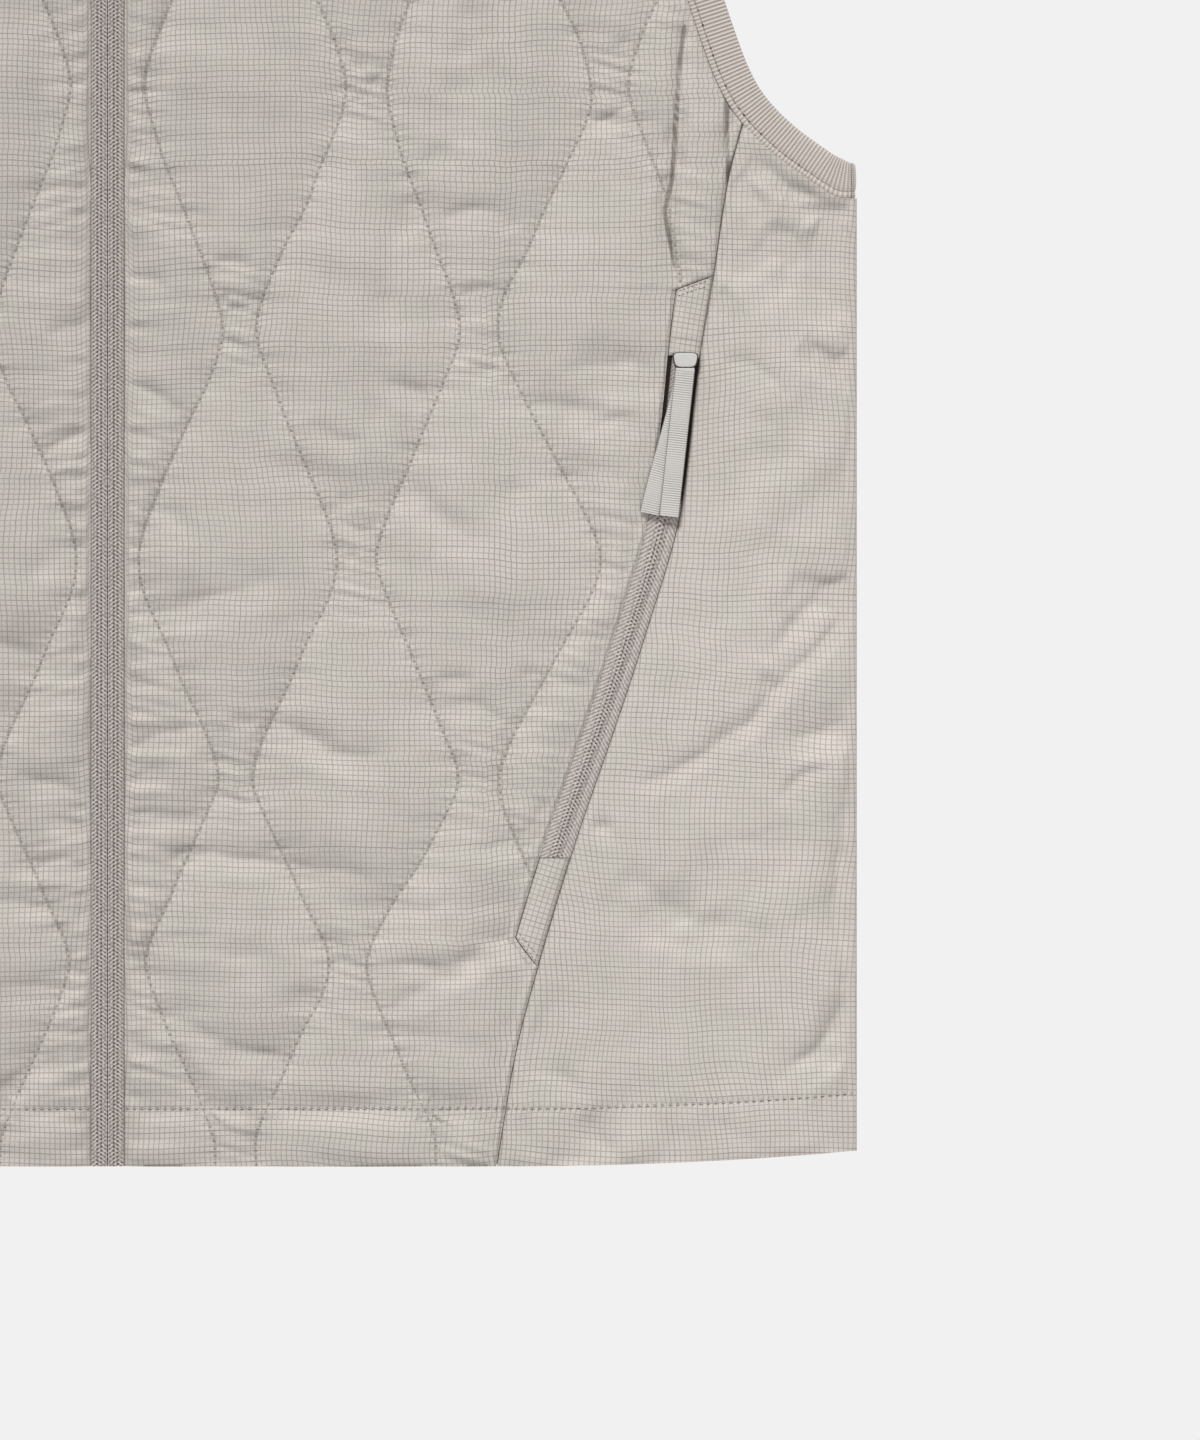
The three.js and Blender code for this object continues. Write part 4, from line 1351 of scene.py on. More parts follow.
    def shape(self) -> Cut:
        """The panel's closed form.

        Returns:
            Rows of points over a flat underside. Each channel swells, and the lines of stitching cut a
            narrow groove between two of them.
        """
        left, right = self.row_ends()
        places, there = self.stitch_places(left, right)
        n = self.channel_columns
        even = np.arange(n) / n
        step = 0.62 * even + 0.38 * (0.5 - 0.5 * np.cos(np.pi * even))
        width = np.diff(places, axis=1)
        x = (places[:, :-1, None] + width[:, :, None] * step).reshape(len(left), -1)
        x = np.concatenate([x, right[:, :1]], 1)
        share = (x - left[:, :1]) / (right[:, :1] - left[:, :1])
        y = lerp(left[:, 1:], right[:, 1:], share)
        u = np.concatenate([np.tile(step, len(QUILT_LINES) + 1), [0.0]])[None]
        wide = np.concatenate([np.repeat(width, n, axis=1), width[:, -1:]], 1)
        stitch = self.stitch_map(x, y)
        up = np.linspace(0, 1, len(left))[:, None]
        puff = self.swell(u, wide, y, up)
        neck = bell(wide - 16, 13) * np.sin(np.pi * u) ** 0.5
        gathers = noise(y / 2.4 + x / 9, x / 25, 23 + self.side.value) * self.gather * neck
        depth, reach = self.groove
        groove = -depth * bell(stitch[..., 0], reach)
        rim = np.minimum.reduce([x - left[:, :1], right[:, :1] - x])
        drop, reach = self.rim_roll
        rolled = -drop * bell(rim, reach)
        rolled = rolled - self.zip_roll * (1 - smooth_step(x - EDGE_X, -1, 8))
        settle = smooth_step(rim, 0, 4) * (1 - smooth_step(up, 0.97, 1.0)) * smooth_step(y, 0, 3)
        relief = self.relief(x, y) * settle
        z = FRONT_UNDER + STITCH_WALL + puff + gathers + groove + rolled + relief
        z = np.maximum(z, FRONT_UNDER + self.least_wall)
        self.top = np.stack([x, y, z], -1)
        for i in range(len(QUILT_LINES)):
            path = self.top[:, (i + 1) * n]
            self.quilt_runs.append((path + [0, 0, STITCH_LIFT], there[:, i]))
        hem_row = int(np.argmin(np.abs(left[:, 1] - HEM_DEPTH)))
        self.hem_run = self.top[hem_row] + [0, 0, HEM_STITCH_LIFT]
        # the map line: the side seam's, the hem's and the deep folds' lines of painted shade
        line = painted_shade_line(self.shade_line_away(x, y, right[:, :1]), x, y)
        maps = {"cloth": self.cloth_map(), "stitch": stitch, "line": line}
        return raised_panel(self.top, FRONT_UNDER, maps)

    def cloth_map(self) -> Array:
        """Places on the flat cloth: the plan, with the extra length that the relief takes up.

        Returns:
            The map cloth, with a slow drift by noise.
        """
        x, y, z = np.moveaxis(self.top, -1, 0)
        extra_x = np.hypot(np.diff(x, axis=1), np.diff(z, axis=1)) - np.diff(x, axis=1)
        extra_y = np.hypot(np.diff(y, axis=0), np.diff(z, axis=0)) - np.abs(np.diff(y, axis=0))
        u = np.pad(np.cumsum(extra_x, axis=1), ((0, 0), (1, 0)))
        v = np.pad(np.cumsum(extra_y, axis=0), ((1, 0), (0, 0)))
        drift_u = noise(x / 55, y / 60, 81) * 2.6 + noise(x / 21, y / 24, 82) * 0.6
        drift_v = noise(x / 60, y / 55, 83) * 2.6 + noise(x / 24, y / 21, 84) * 0.6
        return np.stack([x + 0.5 * u + drift_u, y + 0.35 * v + drift_v], -1)

    def build(self, vest: Vest) -> None:
        """Makes the panel and dresses its solid.

        Args:
            vest: what all the pieces share.
        """
        name = f"front_panel_{self.side.word}"
        piece = vest.add(self.shape(), "quilted_" + name, self.side, "body_cloth", name)
        runs = StitchRuns()
        for path, keep in self.quilt_runs:
            runs.add(path, keep)
        runs.add(self.hem_run)
        vest.sew(runs, "quilt_stitches_" + self.side.word, self.side, "body_cloth")


SIDE_CREASES = (
    Crease(((249, 391), (256, 389), (261, 384), (266, 381), (275, 378)), 2.5, 1.9),
    Crease(((246, 386), (252, 379), (259, 369)), 3.5, 1.2),
    Crease(((262, 372), (270, 374), (279, 370), (288, 371)), 2.4, 1.5),
    Crease(((265, 382), (278, 377), (298, 376)), 3.5, 2.0),
    Crease(((276, 368), (282, 361), (287, 359), (298, 363)), 3.5, 2.4),
    Crease(((241, 344), (248, 351), (255, 355), (269, 359), (278, 353), (286, 342), (298, 328)), 8.5, 3.4),
    Crease(((238, 340), (243, 336)), 3.0, 0.8),
    Crease(((271, 322), (278, 317), (285, 313), (299, 309)), 4.0, 2.6),
    Crease(((234, 315), (249, 313), (258, 307), (266, 300)), 3.0, 0.7),
    Crease(((243, 297), (259, 289)), 5.0, 0.5),
    Crease(((253, 280), (272, 274)), 5.0, 0.5),
    Crease(((264, 228), (276, 229), (300, 222)), 5.5, 2.0),
    Crease(((298, 229), (280, 221), (269, 216), (262, 205), (256, 197)), 5.0, 2.0),
    Crease(((294, 222), (282, 208), (270, 196), (249, 173), (231, 161), (207, 147)), 2.6, 1.3),
    Crease(((254, 190), (260, 190)), 3.0, 0.8),
    Crease(((300, 177), (280, 171), (266, 167)), 4.5, 2.4),
    Crease(((282, 156), (275, 154), (268, 149), (260, 141)), 4.0, 1.3),
    Crease(((241, 126), (250, 128), (260, 132)), 4.0, 0.5),
    Crease(((290, 147), (286, 123), (285, 96), (293, 71)), 6.0, 2.2),
    Crease(((200, 115), (211, 106), (218, 99), (239, 94), (259, 90)), 6.5, 1.4),
    Crease(((299, 82), (289, 63), (282, 51), (270, 39), (261, 33)), 4.5, 2.4),
    Crease(((175, 71), (170, 57), (167, 34)), 3.0, 0.8),
    Crease(((168, 43), (180, 34), (188, 24)), 3.0, 0.9),
    Crease(((161, 21), (165, 12), (168, 2)), 2.5, 0.8),
    Crease(((181, 22), (192, 12), (200, 2)), 3.0, 1.0),
    Crease(((211, 21), (223, 10)), 4.0, 0.6),
    Crease(((231, 22), (246, 10), (258, 6)), 4.0, 0.6),
    Crease(((188, 130), (197, 133)), 3.0, 1.0),
)


@dataclass
class SidePanel:
    """One side panel: a thin wall on the front, round the side fold and under the vest."""

    side: Side
    pitch: float = 1.5
    front_columns: int = 68
    back_columns: int = 14
    crease_share: float = 0.9
    edge_rise: float = 3.2
    edge_reach: float = 6.5
    edge_uneven: float = 3.5
    groove: tuple[float, float] = (0.4, 0.7)
    seam_roll: tuple[float, float] = (0.8, 0.9)
    least_wall: float = 0.4
    hem_run: Array | None = None

    def columns(self, meet: int, hem_seam_x: float, steps: int) -> tuple[Array, Array, Array]:
        """Columns of one layer from the fold to its seam: share of the way, hem height and top height.

        Args:
            meet: row of the armhole's seam where the layer ends.
            hem_seam_x: the seam's X at the hem.
            steps: how many columns lie between the two.

        Returns:
            The three, for each column.
        """
        seam_x = ARMHOLE_SEAM[meet, 0]
        top = armhole_at(np.linspace(0, meet, steps + 1))
        share = (FOLD_X - top[:, 0]) / (FOLD_X - seam_x)
        return share, hem_y(lerp(FOLD_X, hem_seam_x, share)), top[:, 1] - SEAM_GAP / 2

    def relief(self, x: Array, y: Array, share: Array, settle: Array) -> Array:
        """Crumples, puckers and creases, the swell beside the fold and the groove of the hem's stitching.

        Args:
            x: places across the cloth.
            y: places up the cloth.
            share: share of the way from the fold to the seam, for each column.
            settle: 1 inside the panel, falling to 0 at its edges.

        Returns:
            The height that they add.
        """
        seed = 30 if self.side is Side.LEFT else 70
        slant = x * 0.75 + y * 0.66
        soft = noise(slant / 40, (y - x) / 20, seed) * 0.9 + noise(x / 14, y / 11, seed + 1) * 0.2
        hem_off = y - HEM_DEPTH - hem_y(x)
        near_hem = np.exp(-np.abs(hem_off) / 7)
        puckers = noise(x / 3.4, hem_off / 22 + 30, seed + 2) * 0.5 * near_hem
        shift = 0 if self.side is Side.LEFT else 14
        creases = self.crease_share * CREASE_SHARE * creased(SIDE_CREASES, x, y + shift)
        reach = self.edge_reach + self.edge_uneven * noise(y / 24, x / 60, seed + 3)
        free = (1 - np.exp((x - FOLD_X) / reach)) * np.cos(np.pi / 2 * np.clip(share, 0, 1))[None]
        depth, reach = self.groove
        groove = depth * bell(hem_off, reach)
        return (soft + puckers + creases) * settle + self.edge_rise * free - groove

    def back_layer(self, up: Array) -> tuple[Array, Array]:
        """Places of the back layer across and up the plan, from the fold to its seam.

        Args:
            up: share of the way up, for each row.

        Returns:
            The X and the Y.
        """
        share, hem, top = self.columns(BACK_MEET, BACK_SEAM_HEM_X, self.back_columns)
        seam_x = lerp(BACK_SEAM_HEM_X, ARMHOLE_SEAM[BACK_MEET, 0], up)
        return lerp(FOLD_X, seam_x, share[None]), lerp(hem[None], top[None], up)

    def shape(self) -> Cut:
        """The wall's closed form.

        Returns:
            A body through one section for each height: outer side of the front layer, a half ellipse
            round the fold, outer side of the back layer, and the same way back inside.
        """
        rows = level_rows(self.pitch)
        up = (rows / rows[-1])[:, None]
        share, hem, top = self.columns(SEAM_MEET, SIDE_SEAM[0, 0], self.front_columns)
        x = lerp(FOLD_X, side_seam_x(rows)[:, None] + SEAM_GAP, share[None])
        y = lerp(hem[None], top[None], up)
        swell = 2 * FOLD_RISE - FRONT_UNDER - SIDE_WALL
        rest = FRONT_UNDER + swell * (1 - share[None]) ** 2
        settle = smooth_step(share[None], 0, 0.035) * smooth_step(1 - share[None], 0, 0.05)
        settle = settle * smooth_step(top[None] - y, 0, 5) * smooth_step(y - hem[None], 0, 3)
        relief = self.relief(x, y, share, settle)
        seam_off = x - side_seam_x(rows)[:, None]
        drop, reach = self.seam_roll
        rolled = -drop * bell(seam_off, reach)
        outer = np.maximum(rest + SIDE_WALL + relief + rolled, FRONT_UNDER + self.least_wall)
        front = np.stack([x, y, outer], -1)[:, ::-1]
        back_x, back_y = self.back_layer(up)
        turn = np.pi * np.linspace(0, 1, 9)[1:-1]
        fold_y = np.repeat(back_y[:, :1], len(turn), 1)

        def bend(inset: float) -> Array:
            """The half ellipse round the fold, or one that far inside it."""
            fold_out = FOLD_X + (FOLD_RADIUS - inset) * np.sin(turn)
            fold_up = FOLD_RISE + (FOLD_RISE - inset) * np.cos(turn)
            out, high = (np.tile(part, (len(rows), 1)) for part in (fold_out, fold_up))
            return np.stack([out, fold_y, high], -1)

        def under(z: float) -> Array:
            """The back layer at a height."""
            return np.stack([back_x, back_y, np.full_like(back_x, z)], -1)

        inner = np.stack([x, y, np.broadcast_to(np.minimum(rest, outer - 0.3), x.shape)], -1)
        outside = np.concatenate([front, bend(0), under(0)], 1)
        inside = np.concatenate([inner[:, ::-1], bend(SIDE_WALL), under(SIDE_WALL)], 1)
        rings = np.concatenate([outside, inside[:, ::-1]], 1)
        self.hem_run = self.hem_path(x, y, outer)
        return loft(rings, self.maps(rings, seam_off, y - HEM_DEPTH - hem_y(x)), caps="wall")

    def maps(self, rings: Array, seam_off: Array, hem_off: Array) -> dict[str, Array]:
        """Places of the wall's points in each named map, the inner side's the same as the outer side's.

        Args:
            rings: the wall's sections, first their outer side and then their inner side.
            seam_off: distance from the seam on the front layer, from the fold to the seam.
            hem_off: height over the hem's stitching there.

        Returns:
            The maps cloth, stitch, and line for the painted shade along the seam and the hem's stitching.
        """

        def both(outer: Array) -> Array:
            """The outer side's places, then the inner side's in turn."""
            return np.concatenate([outer, outer[:, ::-1]], 1)

        outside = rings[:, : rings.shape[1] // 2]
        steps = np.linalg.norm(np.diff(outside, axis=1)[..., [0, 2]], axis=-1)
        run = np.pad(np.cumsum(steps, axis=1), ((0, 0), (1, 0)))
        run = run - run[:, self.front_columns : self.front_columns + 1] + HALF_WIDTH
        height = outside[..., 1]
        drift_u = noise(run / 60, height / 70, 91) * 5 + noise(run / 20, height / 22, 92) * 0.9
        drift_v = noise(run / 70, height / 60, 93) * 5 + noise(run / 22, height / 20, 94) * 0.9
        cloth = np.stack([run + drift_u, height + 0.035 * (run - HALF_WIDTH) + drift_v], -1)
        stitch = np.stack([np.abs(height - HEM_DEPTH - hem_y(outside[..., 0])), run], -1)
        # distances to the side seam's and the hem's lines of painted shade; the fold and the back layer lie
        # past them
        seam = np.full_like(run, FAR)
        seam[:, : seam_off.shape[1]] = np.minimum(seam_off + 0.3, hem_shadow(hem_off))[:, ::-1]
        line = painted_shade_line(both(seam), rings[..., 0], rings[..., 1])
        return {"cloth": both(cloth), "stitch": both(stitch), "line": line}

    def hem_path(self, x: Array, y: Array, z: Array) -> Array:
        """The line of hem stitching on the front layer, interpolated up each column.

        Args:
            x: places across the cloth.
            y: places up the cloth.
            z: heights of the cloth there.

        Returns:
            The line's points.
        """
        points = []
        for j in range(x.shape[1]):
            level = y[:, j] - HEM_DEPTH - hem_y(x[:, j])
            points.append([np.interp(0, level, column[:, j]) for column in (x, y, z)])
        return np.array(points)[::-1] + [0, 0, HEM_STITCH_LIFT]

    def build(self, vest: Vest) -> None:
        """Makes the panel and dresses its solid.

        Args:
            vest: what all the pieces share.
        """
        name = f"side_panel_{self.side.word}"
        piece = vest.add(self.shape(), "folded_" + name, self.side, "body_cloth", name)
        runs = StitchRuns()
        runs.add(self.hem_run)
        vest.sew(runs, "hem_stitches_" + self.side.word, self.side, "body_cloth")


def evenly(curve: Callable[[Array], Array], last: float, pitch: float) -> tuple[Array, Array]:
    """Points of a plan curve at even spacing, and the unit way along it at each.

    Args:
        curve: the curve's points at an array of its parameter, which starts at 0.
        last: the parameter's last value.
        pitch: about how far apart the points are.

    Returns:
        The points and the ways along.
    """
    fine = np.linspace(0, last, 4001)
    points = curve(fine)
    run = arc_length(points)
    count = max(2, round(run[-1] / pitch))
    t = np.interp(np.linspace(0, run[-1], count + 1), run, fine)
    way = np.stack([np.gradient(points[:, k], run) for k in (0, 1)], -1)
    way = np.stack([np.interp(t, fine, way[:, k]) for k in (0, 1)], -1)
    return curve(t), way / np.linalg.norm(way, axis=1, keepdims=True)


def deep(plan: Array, z: float | Array) -> Array:
    """Plan points or directions given a height."""
    return np.concatenate([plan, np.broadcast_to(z, plan.shape[:1])[:, None]], -1)


# Section of a folded rib band: across it from its sewn edge, and through it, with a dip at the stitching
BAND_SECTION = np.array(
    [
        (0, 0.25), (0.25, 0.6), (0.9, 0.78), (1.7, 0.74), (2.2, 0.5), (2.6, 0.44), (3.1, 0.72), (4.4, 0.9),
        (8, 0.95), (11, 0.9), (12.8, 0.7), (13.4, 0.35), (BINDING_WIDTH, 0), (13.4, -0.4), (12.8, -0.8),
        (11, -1), (1, -1), (0, -0.6),
    ]
)  # fmt: skip


@dataclass
class Band:
    """A rib knit binding: its sewn edge's points, the way across it and the way out of its face."""

    sewn: list[Array] = field(default_factory=list)
    across: list[Array] = field(default_factory=list)
    out: list[Array] = field(default_factory=list)
    ring_pitch: float = 0.33
    rib_pitch: float = 1.5
    rib_height: float = 0.2
    overlap: float = 0.1
    thread_rise: float = 0.62

    def lay(self, points: Array, way: Array, side: int, z: float, out: float) -> None:
        """Adds a stretch that lies flat in one layer.

        Args:
            points: plan points of the seam.
            way: the way along the seam at each.
            side: 1 where the free edge is to the right of the way, -1 where it is to the left.
            z: height of the band's middle.
            out: 1 where its face is up, -1 where it is down.
        """
        self.sewn.append(deep(points, z))
        self.across.append(deep(np.stack([way[:, 1], -way[:, 0]], -1) * side, 0.0))
        self.out.append(np.tile([0.0, 0.0, out], (len(points), 1)))

    def fold(self, at: Array, across: Array, over: Array, to_back: bool) -> None:
        """Adds the half turn from the front layer to the back one, or from the back to the front.

        Args:
            at: plan point of the fold.
            across: plan direction of the free edge.
            over: plan direction in which the fold stands out.
            to_back: whether the band comes from the front.
        """
        high, low = FRONT_UNDER + BINDING_WALL / 2, BINDING_WALL / 2
        turn = np.pi * np.linspace(0, 1, 13)[1:-1]
        turn = turn if to_back else turn[::-1]
        out = deep(np.sin(turn)[:, None] * over, np.cos(turn))
        centre = np.array([*at, (high + low) / 2])
        self.sewn.append(centre + out * (high - low) / 2)
        self.across.append(np.tile([*across, 0.0], (len(turn), 1)))
        self.out.append(out)

    def cut(self, closed: bool) -> tuple[Cut, Array]:
        """The band's body, with its ribs, and the path of the stitching on its face.

        Args:
            closed: whether the band's end joins its start.

        Returns:
            The shape and the path. The ribs are a cosine along the band that is added to its face.
        """
        sewn, across, out = (np.concatenate(part) for part in (self.sewn, self.across, self.out))
        middle = sewn + across * BINDING_WIDTH / 2
        run = arc_length(middle)
        total = run[-1] + (np.linalg.norm(middle[0] - middle[-1]) if closed else 0.0)
        pitch = total / round(total / self.rib_pitch)
        rib = np.cos(2 * np.pi * run / pitch)[:, None]
        place, through = BAND_SECTION.T
        on_band = smooth_step(place, BAND_STITCH, BAND_STITCH + 1.2) * 0.75 + 0.25
        rise = np.where(through > 0, self.rib_height * on_band, 0)[None] * (rib - 0.4)
        wave = noise(run / 38, 0 * run, 17)[:, None] * 0.25 * np.sin(np.pi * place / BINDING_WIDTH)[None]
        wave = wave * (out[:, 2:] > 0)
        height = (through + np.minimum(0, rise) + 0.12 * rise + wave * (through > 0))[..., None]
        over = (place - self.overlap)[None, :, None]
        rings = sewn[:, None] + across[:, None] * over + out[:, None] * height
        cloth = np.stack(np.broadcast_arrays(place[None], run[:, None] * self.rib_pitch / pitch), -1)
        path = sewn + across * (BAND_STITCH - self.overlap) + out * self.thread_rise
        return loft(rings, {"cloth": cloth}, caps="none" if closed else "flat"), path

    def sew(self, vest: Vest, path: Array, name: str, side: Side) -> None:
        """Adds the short stitches along the band.

        Args:
            vest: what all the pieces share.
            path: the line of stitching.
            name: the sewing's name.
            side: the half of the vest that it is for.
        """
        runs = StitchRuns(pitch=2.6, length=1.5)
        runs.add(path)
        vest.sew(runs, name, side, "rib_knit")


@dataclass
class ArmholeBinding:
    """The rib band round one armhole, whose free edge is straight for a short way at the side fold."""

    side: Side
    straight: float = 16.0

    def build(self, vest: Vest) -> None:
        """Makes the band and dresses its solid.

        Args:
            vest: what all the pieces share.
        """
        last = len(ARMHOLE_SEAM) - 1
        band = Band()
        points, way = evenly(armhole_at, last, band.ring_pitch)
        shoulder, fold = points[-1], points[0]
        reach = SEAM_GAP + BINDING_WIDTH
        edge = points + reach * np.stack([way[:, 1], -way[:, 0]], -1)
        run = arc_length(points)
        end = int(np.searchsorted(run, self.straight))
        edge[:end] = lerp(fold + [0.0, reach], edge[end], (run[:end] / run[end])[:, None])
        across = (edge - points) / reach
        way = np.stack([-across[:, 1], across[:, 0]], -1)
        band.lay(points, way, 1, FRONT_UNDER + BINDING_WALL / 2, 1)
        band.fold(shoulder, ALONG_SHOULDER, OVER_SHOULDER, True)
        band.lay(points[::-1], way[::-1], 1, BINDING_WALL / 2, -1)
        band.fold(fold, np.array([0.0, 1.0]), np.array([1.0, 0.0]), False)
        shape, path = band.cut(closed=True)
        name = f"armhole_binding_{self.side.word}"
        piece = vest.add(shape, "rib_" + name, self.side, "rib_knit", name)
        band.sew(vest, path, "armhole_stitches_" + self.side.word, self.side)


@dataclass
class NeckBinding:
    """The rib band round the neck, from one front edge round the back of the neck to the other."""

    def build(self, vest: Vest) -> None:
        """Makes the band and dresses its solid.

        Args:
            vest: what all the pieces share.
        """
        half = Band()
        points, way = evenly(front_neck_at, 1, half.ring_pitch)
        half.lay(points, way, -1, FRONT_UNDER + BINDING_WALL / 2, 1)
        half.fold(points[-1], -ALONG_SHOULDER, OVER_SHOULDER, True)
        points, way = evenly(back_neck_at, 1, half.ring_pitch)
        half.lay(points[::-1], way[::-1], -1, BINDING_WALL / 2, -1)
        mirror = np.array([-1, 1, 1])
        whole = Band()
        for mine, theirs in ((whole.sewn, half.sewn), (whole.across, half.across), (whole.out, half.out)):
            left = np.concatenate(theirs)
            mine += [left, left[:-1][::-1] * mirror]
        shape, path = whole.cut(closed=False)
        piece = vest.add(shape, "rib_neck_binding", Side.LEFT, "rib_knit", "neck_binding")
        whole.sew(vest, path, "neck_stitches", Side.LEFT)


@dataclass
class Slider:
    """A moulded zip slider: broad rounded shoulders, narrower at its tail, with a soft top."""

    x: float
    y: float
    width: float
    length: float
    bottom: float = FRONT_UNDER + TAPE_WALL + COIL_RISE + SEAM_GAP
    height: float = 2.4

    def cut(self) -> Cut:
        """The slider's body.

        Returns:
            Layers of one outline, a circle squared off by a power of its sine and cosine and narrowed
            towards the tail. Each layer is the outline at a share of its size and of the height.
        """
        turn = np.linspace(0, 2 * np.pi, 65)[:-1]
        across = np.sign(np.cos(turn)) * np.abs(np.cos(turn)) ** 0.45 * self.width / 2
        along = np.sign(np.sin(turn)) * np.abs(np.sin(turn)) ** 0.5 * self.length / 2
        taper = lerp(0.78, 1.0, along / self.length + 0.5)
        size = np.array([0.93, 0.985, 1, 1, 0.985, 0.93, 0.84, 0.6, 0.3])
        rise = np.array([0, 0.04, 0.14, 0.72, 0.86, 0.95, 0.985, 1, 1.0])
        x = self.x + size[:, None] * (across * taper)[None]
        y = self.y + size[:, None] * along[None]
        z = self.bottom + np.broadcast_to((rise * self.height)[:, None], x.shape)
        rings = np.stack([x, y, z], -1)
        out = np.broadcast_to(size[:, None], x.shape)
        return loft(rings, {"cloth": np.stack([out, 0 * out], -1)})


@dataclass
class Pull:
    """A grosgrain ribbon through a slider, folded in two, with its cut ends side by side."""

    lower: tuple[tuple[float, float], ...]
    upper: tuple[tuple[float, float], ...]
    lower_z: float = 5.6
    ring_pitch: float = 0.23
    rib_pitch: float = 0.94
    rib_depth: float = 0.16

    def leg(self, table: tuple[tuple[float, float], ...]) -> Array:
        """Points down the middle of a leg: a cubic of the height through its places.

        Args:
            table: the leg's places, from its top.

        Returns:
            The points, evenly spaced in height.
        """
        x, y = np.array(table).T
        fit = np.polyfit(y, x, 3)
        level = np.linspace(y[0], y[-1], round((y[0] - y[-1]) / self.ring_pitch))
        return np.stack([np.polyval(fit, level), level], -1)

    def cut(self) -> Cut:
        """The ribbon's body.

        Returns:
            A flat section with soft edges along the lower leg, round the turn and down the upper leg.
            Its faces rise and fall with a cosine along the ribbon.
        """
        upper_z = self.lower_z + RIBBON_WALL + SEAM_GAP
        place = np.array([-0.5, -0.44, -0.2, 0.2, 0.44, 0.5])
        place = np.concatenate([place, place[::-1]]) * RIBBON_WIDTH
        face = np.array([0.25, 0.5, 0.5, 0.5, 0.5, 0.25])
        through = np.concatenate([-face, face]) * RIBBON_WALL
        centres, acrosses, outs = [], [], []

        def lay(points: Array, z: float, out: float) -> None:
            """Adds one leg."""
            way = np.gradient(points, axis=0)
            way /= np.linalg.norm(way, axis=1, keepdims=True)
            down = way * np.where(way[:, 1:] < 0, 1, -1)
            centres.append(deep(points, z))
            acrosses.append(deep(np.stack([-down[:, 1], down[:, 0]], -1), 0.0))
            outs.append(np.tile([0.0, 0.0, out], (len(points), 1)))

        lower, upper = self.leg(self.lower), self.leg(self.upper)
        lay(lower[::-1], self.lower_z, 1)
        middle, radius = (self.lower_z + upper_z) / 2, (upper_z - self.lower_z) / 2
        turn = np.pi * np.linspace(0, 1, 7)[1:-1]
        out = np.stack([0 * turn, -np.sin(turn), np.cos(turn)], -1)
        centres.append(np.array([*upper[0], middle]) - out * radius)
        acrosses.append(np.tile([1.0, 0.0, 0.0], (len(turn), 1)))
        outs.append(out)
        lay(upper, upper_z, -1)
        centre, across, out = (np.concatenate(part) for part in (centres, acrosses, outs))
        run = arc_length(centre)
        rib = 1 + self.rib_depth * (np.cos(2 * np.pi * run / self.rib_pitch)[:, None] - 1)
        rings = (
            centre[:, None]
            + across[:, None] * place[None, :, None]
            + out[:, None] * (through[None] * rib)[..., None]
        )
        cloth = np.stack(np.broadcast_arrays(place[None], run[:, None]), -1)
        return loft(rings, {"cloth": cloth})


POCKET_PULL = Pull(
    lower=((225, 310), (222.4, 297), (218.6, 283), (214.6, 268), (211.2, 254.3)),
    upper=((225, 310), (223.6, 297), (222, 283), (220.4, 268), (218.8, 253.2)),
)
FRONT_PULL = Pull(
    lower=((0, 586), (-0.2, 572), (-1, 556), (-2, 540), (-2.6, 530)),
    upper=((0, 586), (0.3, 572), (1, 556), (1.8, 540), (2.2, 529)),
)


# Shares across the pocket's zip at which its columns lie
ZIP_SHARES = (
    -0.02, 0.05, 0.14, 0.24, 0.33, 0.38, 0.44, 0.5, 0.56, 0.62, 0.67, 0.76, 0.86, 0.95, 1.02,
)  # fmt: skip
TAB_FOLDS = (
    Crease(((217, 321), (224, 322.6), (229, 321.6), (236, 318)), 0.8, 0.5),
    Crease(((218, 318.6), (225, 320), (230, 319), (236, 316)), 0.7, 0.4),
    Crease(((221, 336), (226, 333), (230, 327)), 1.6, 0.4),
)


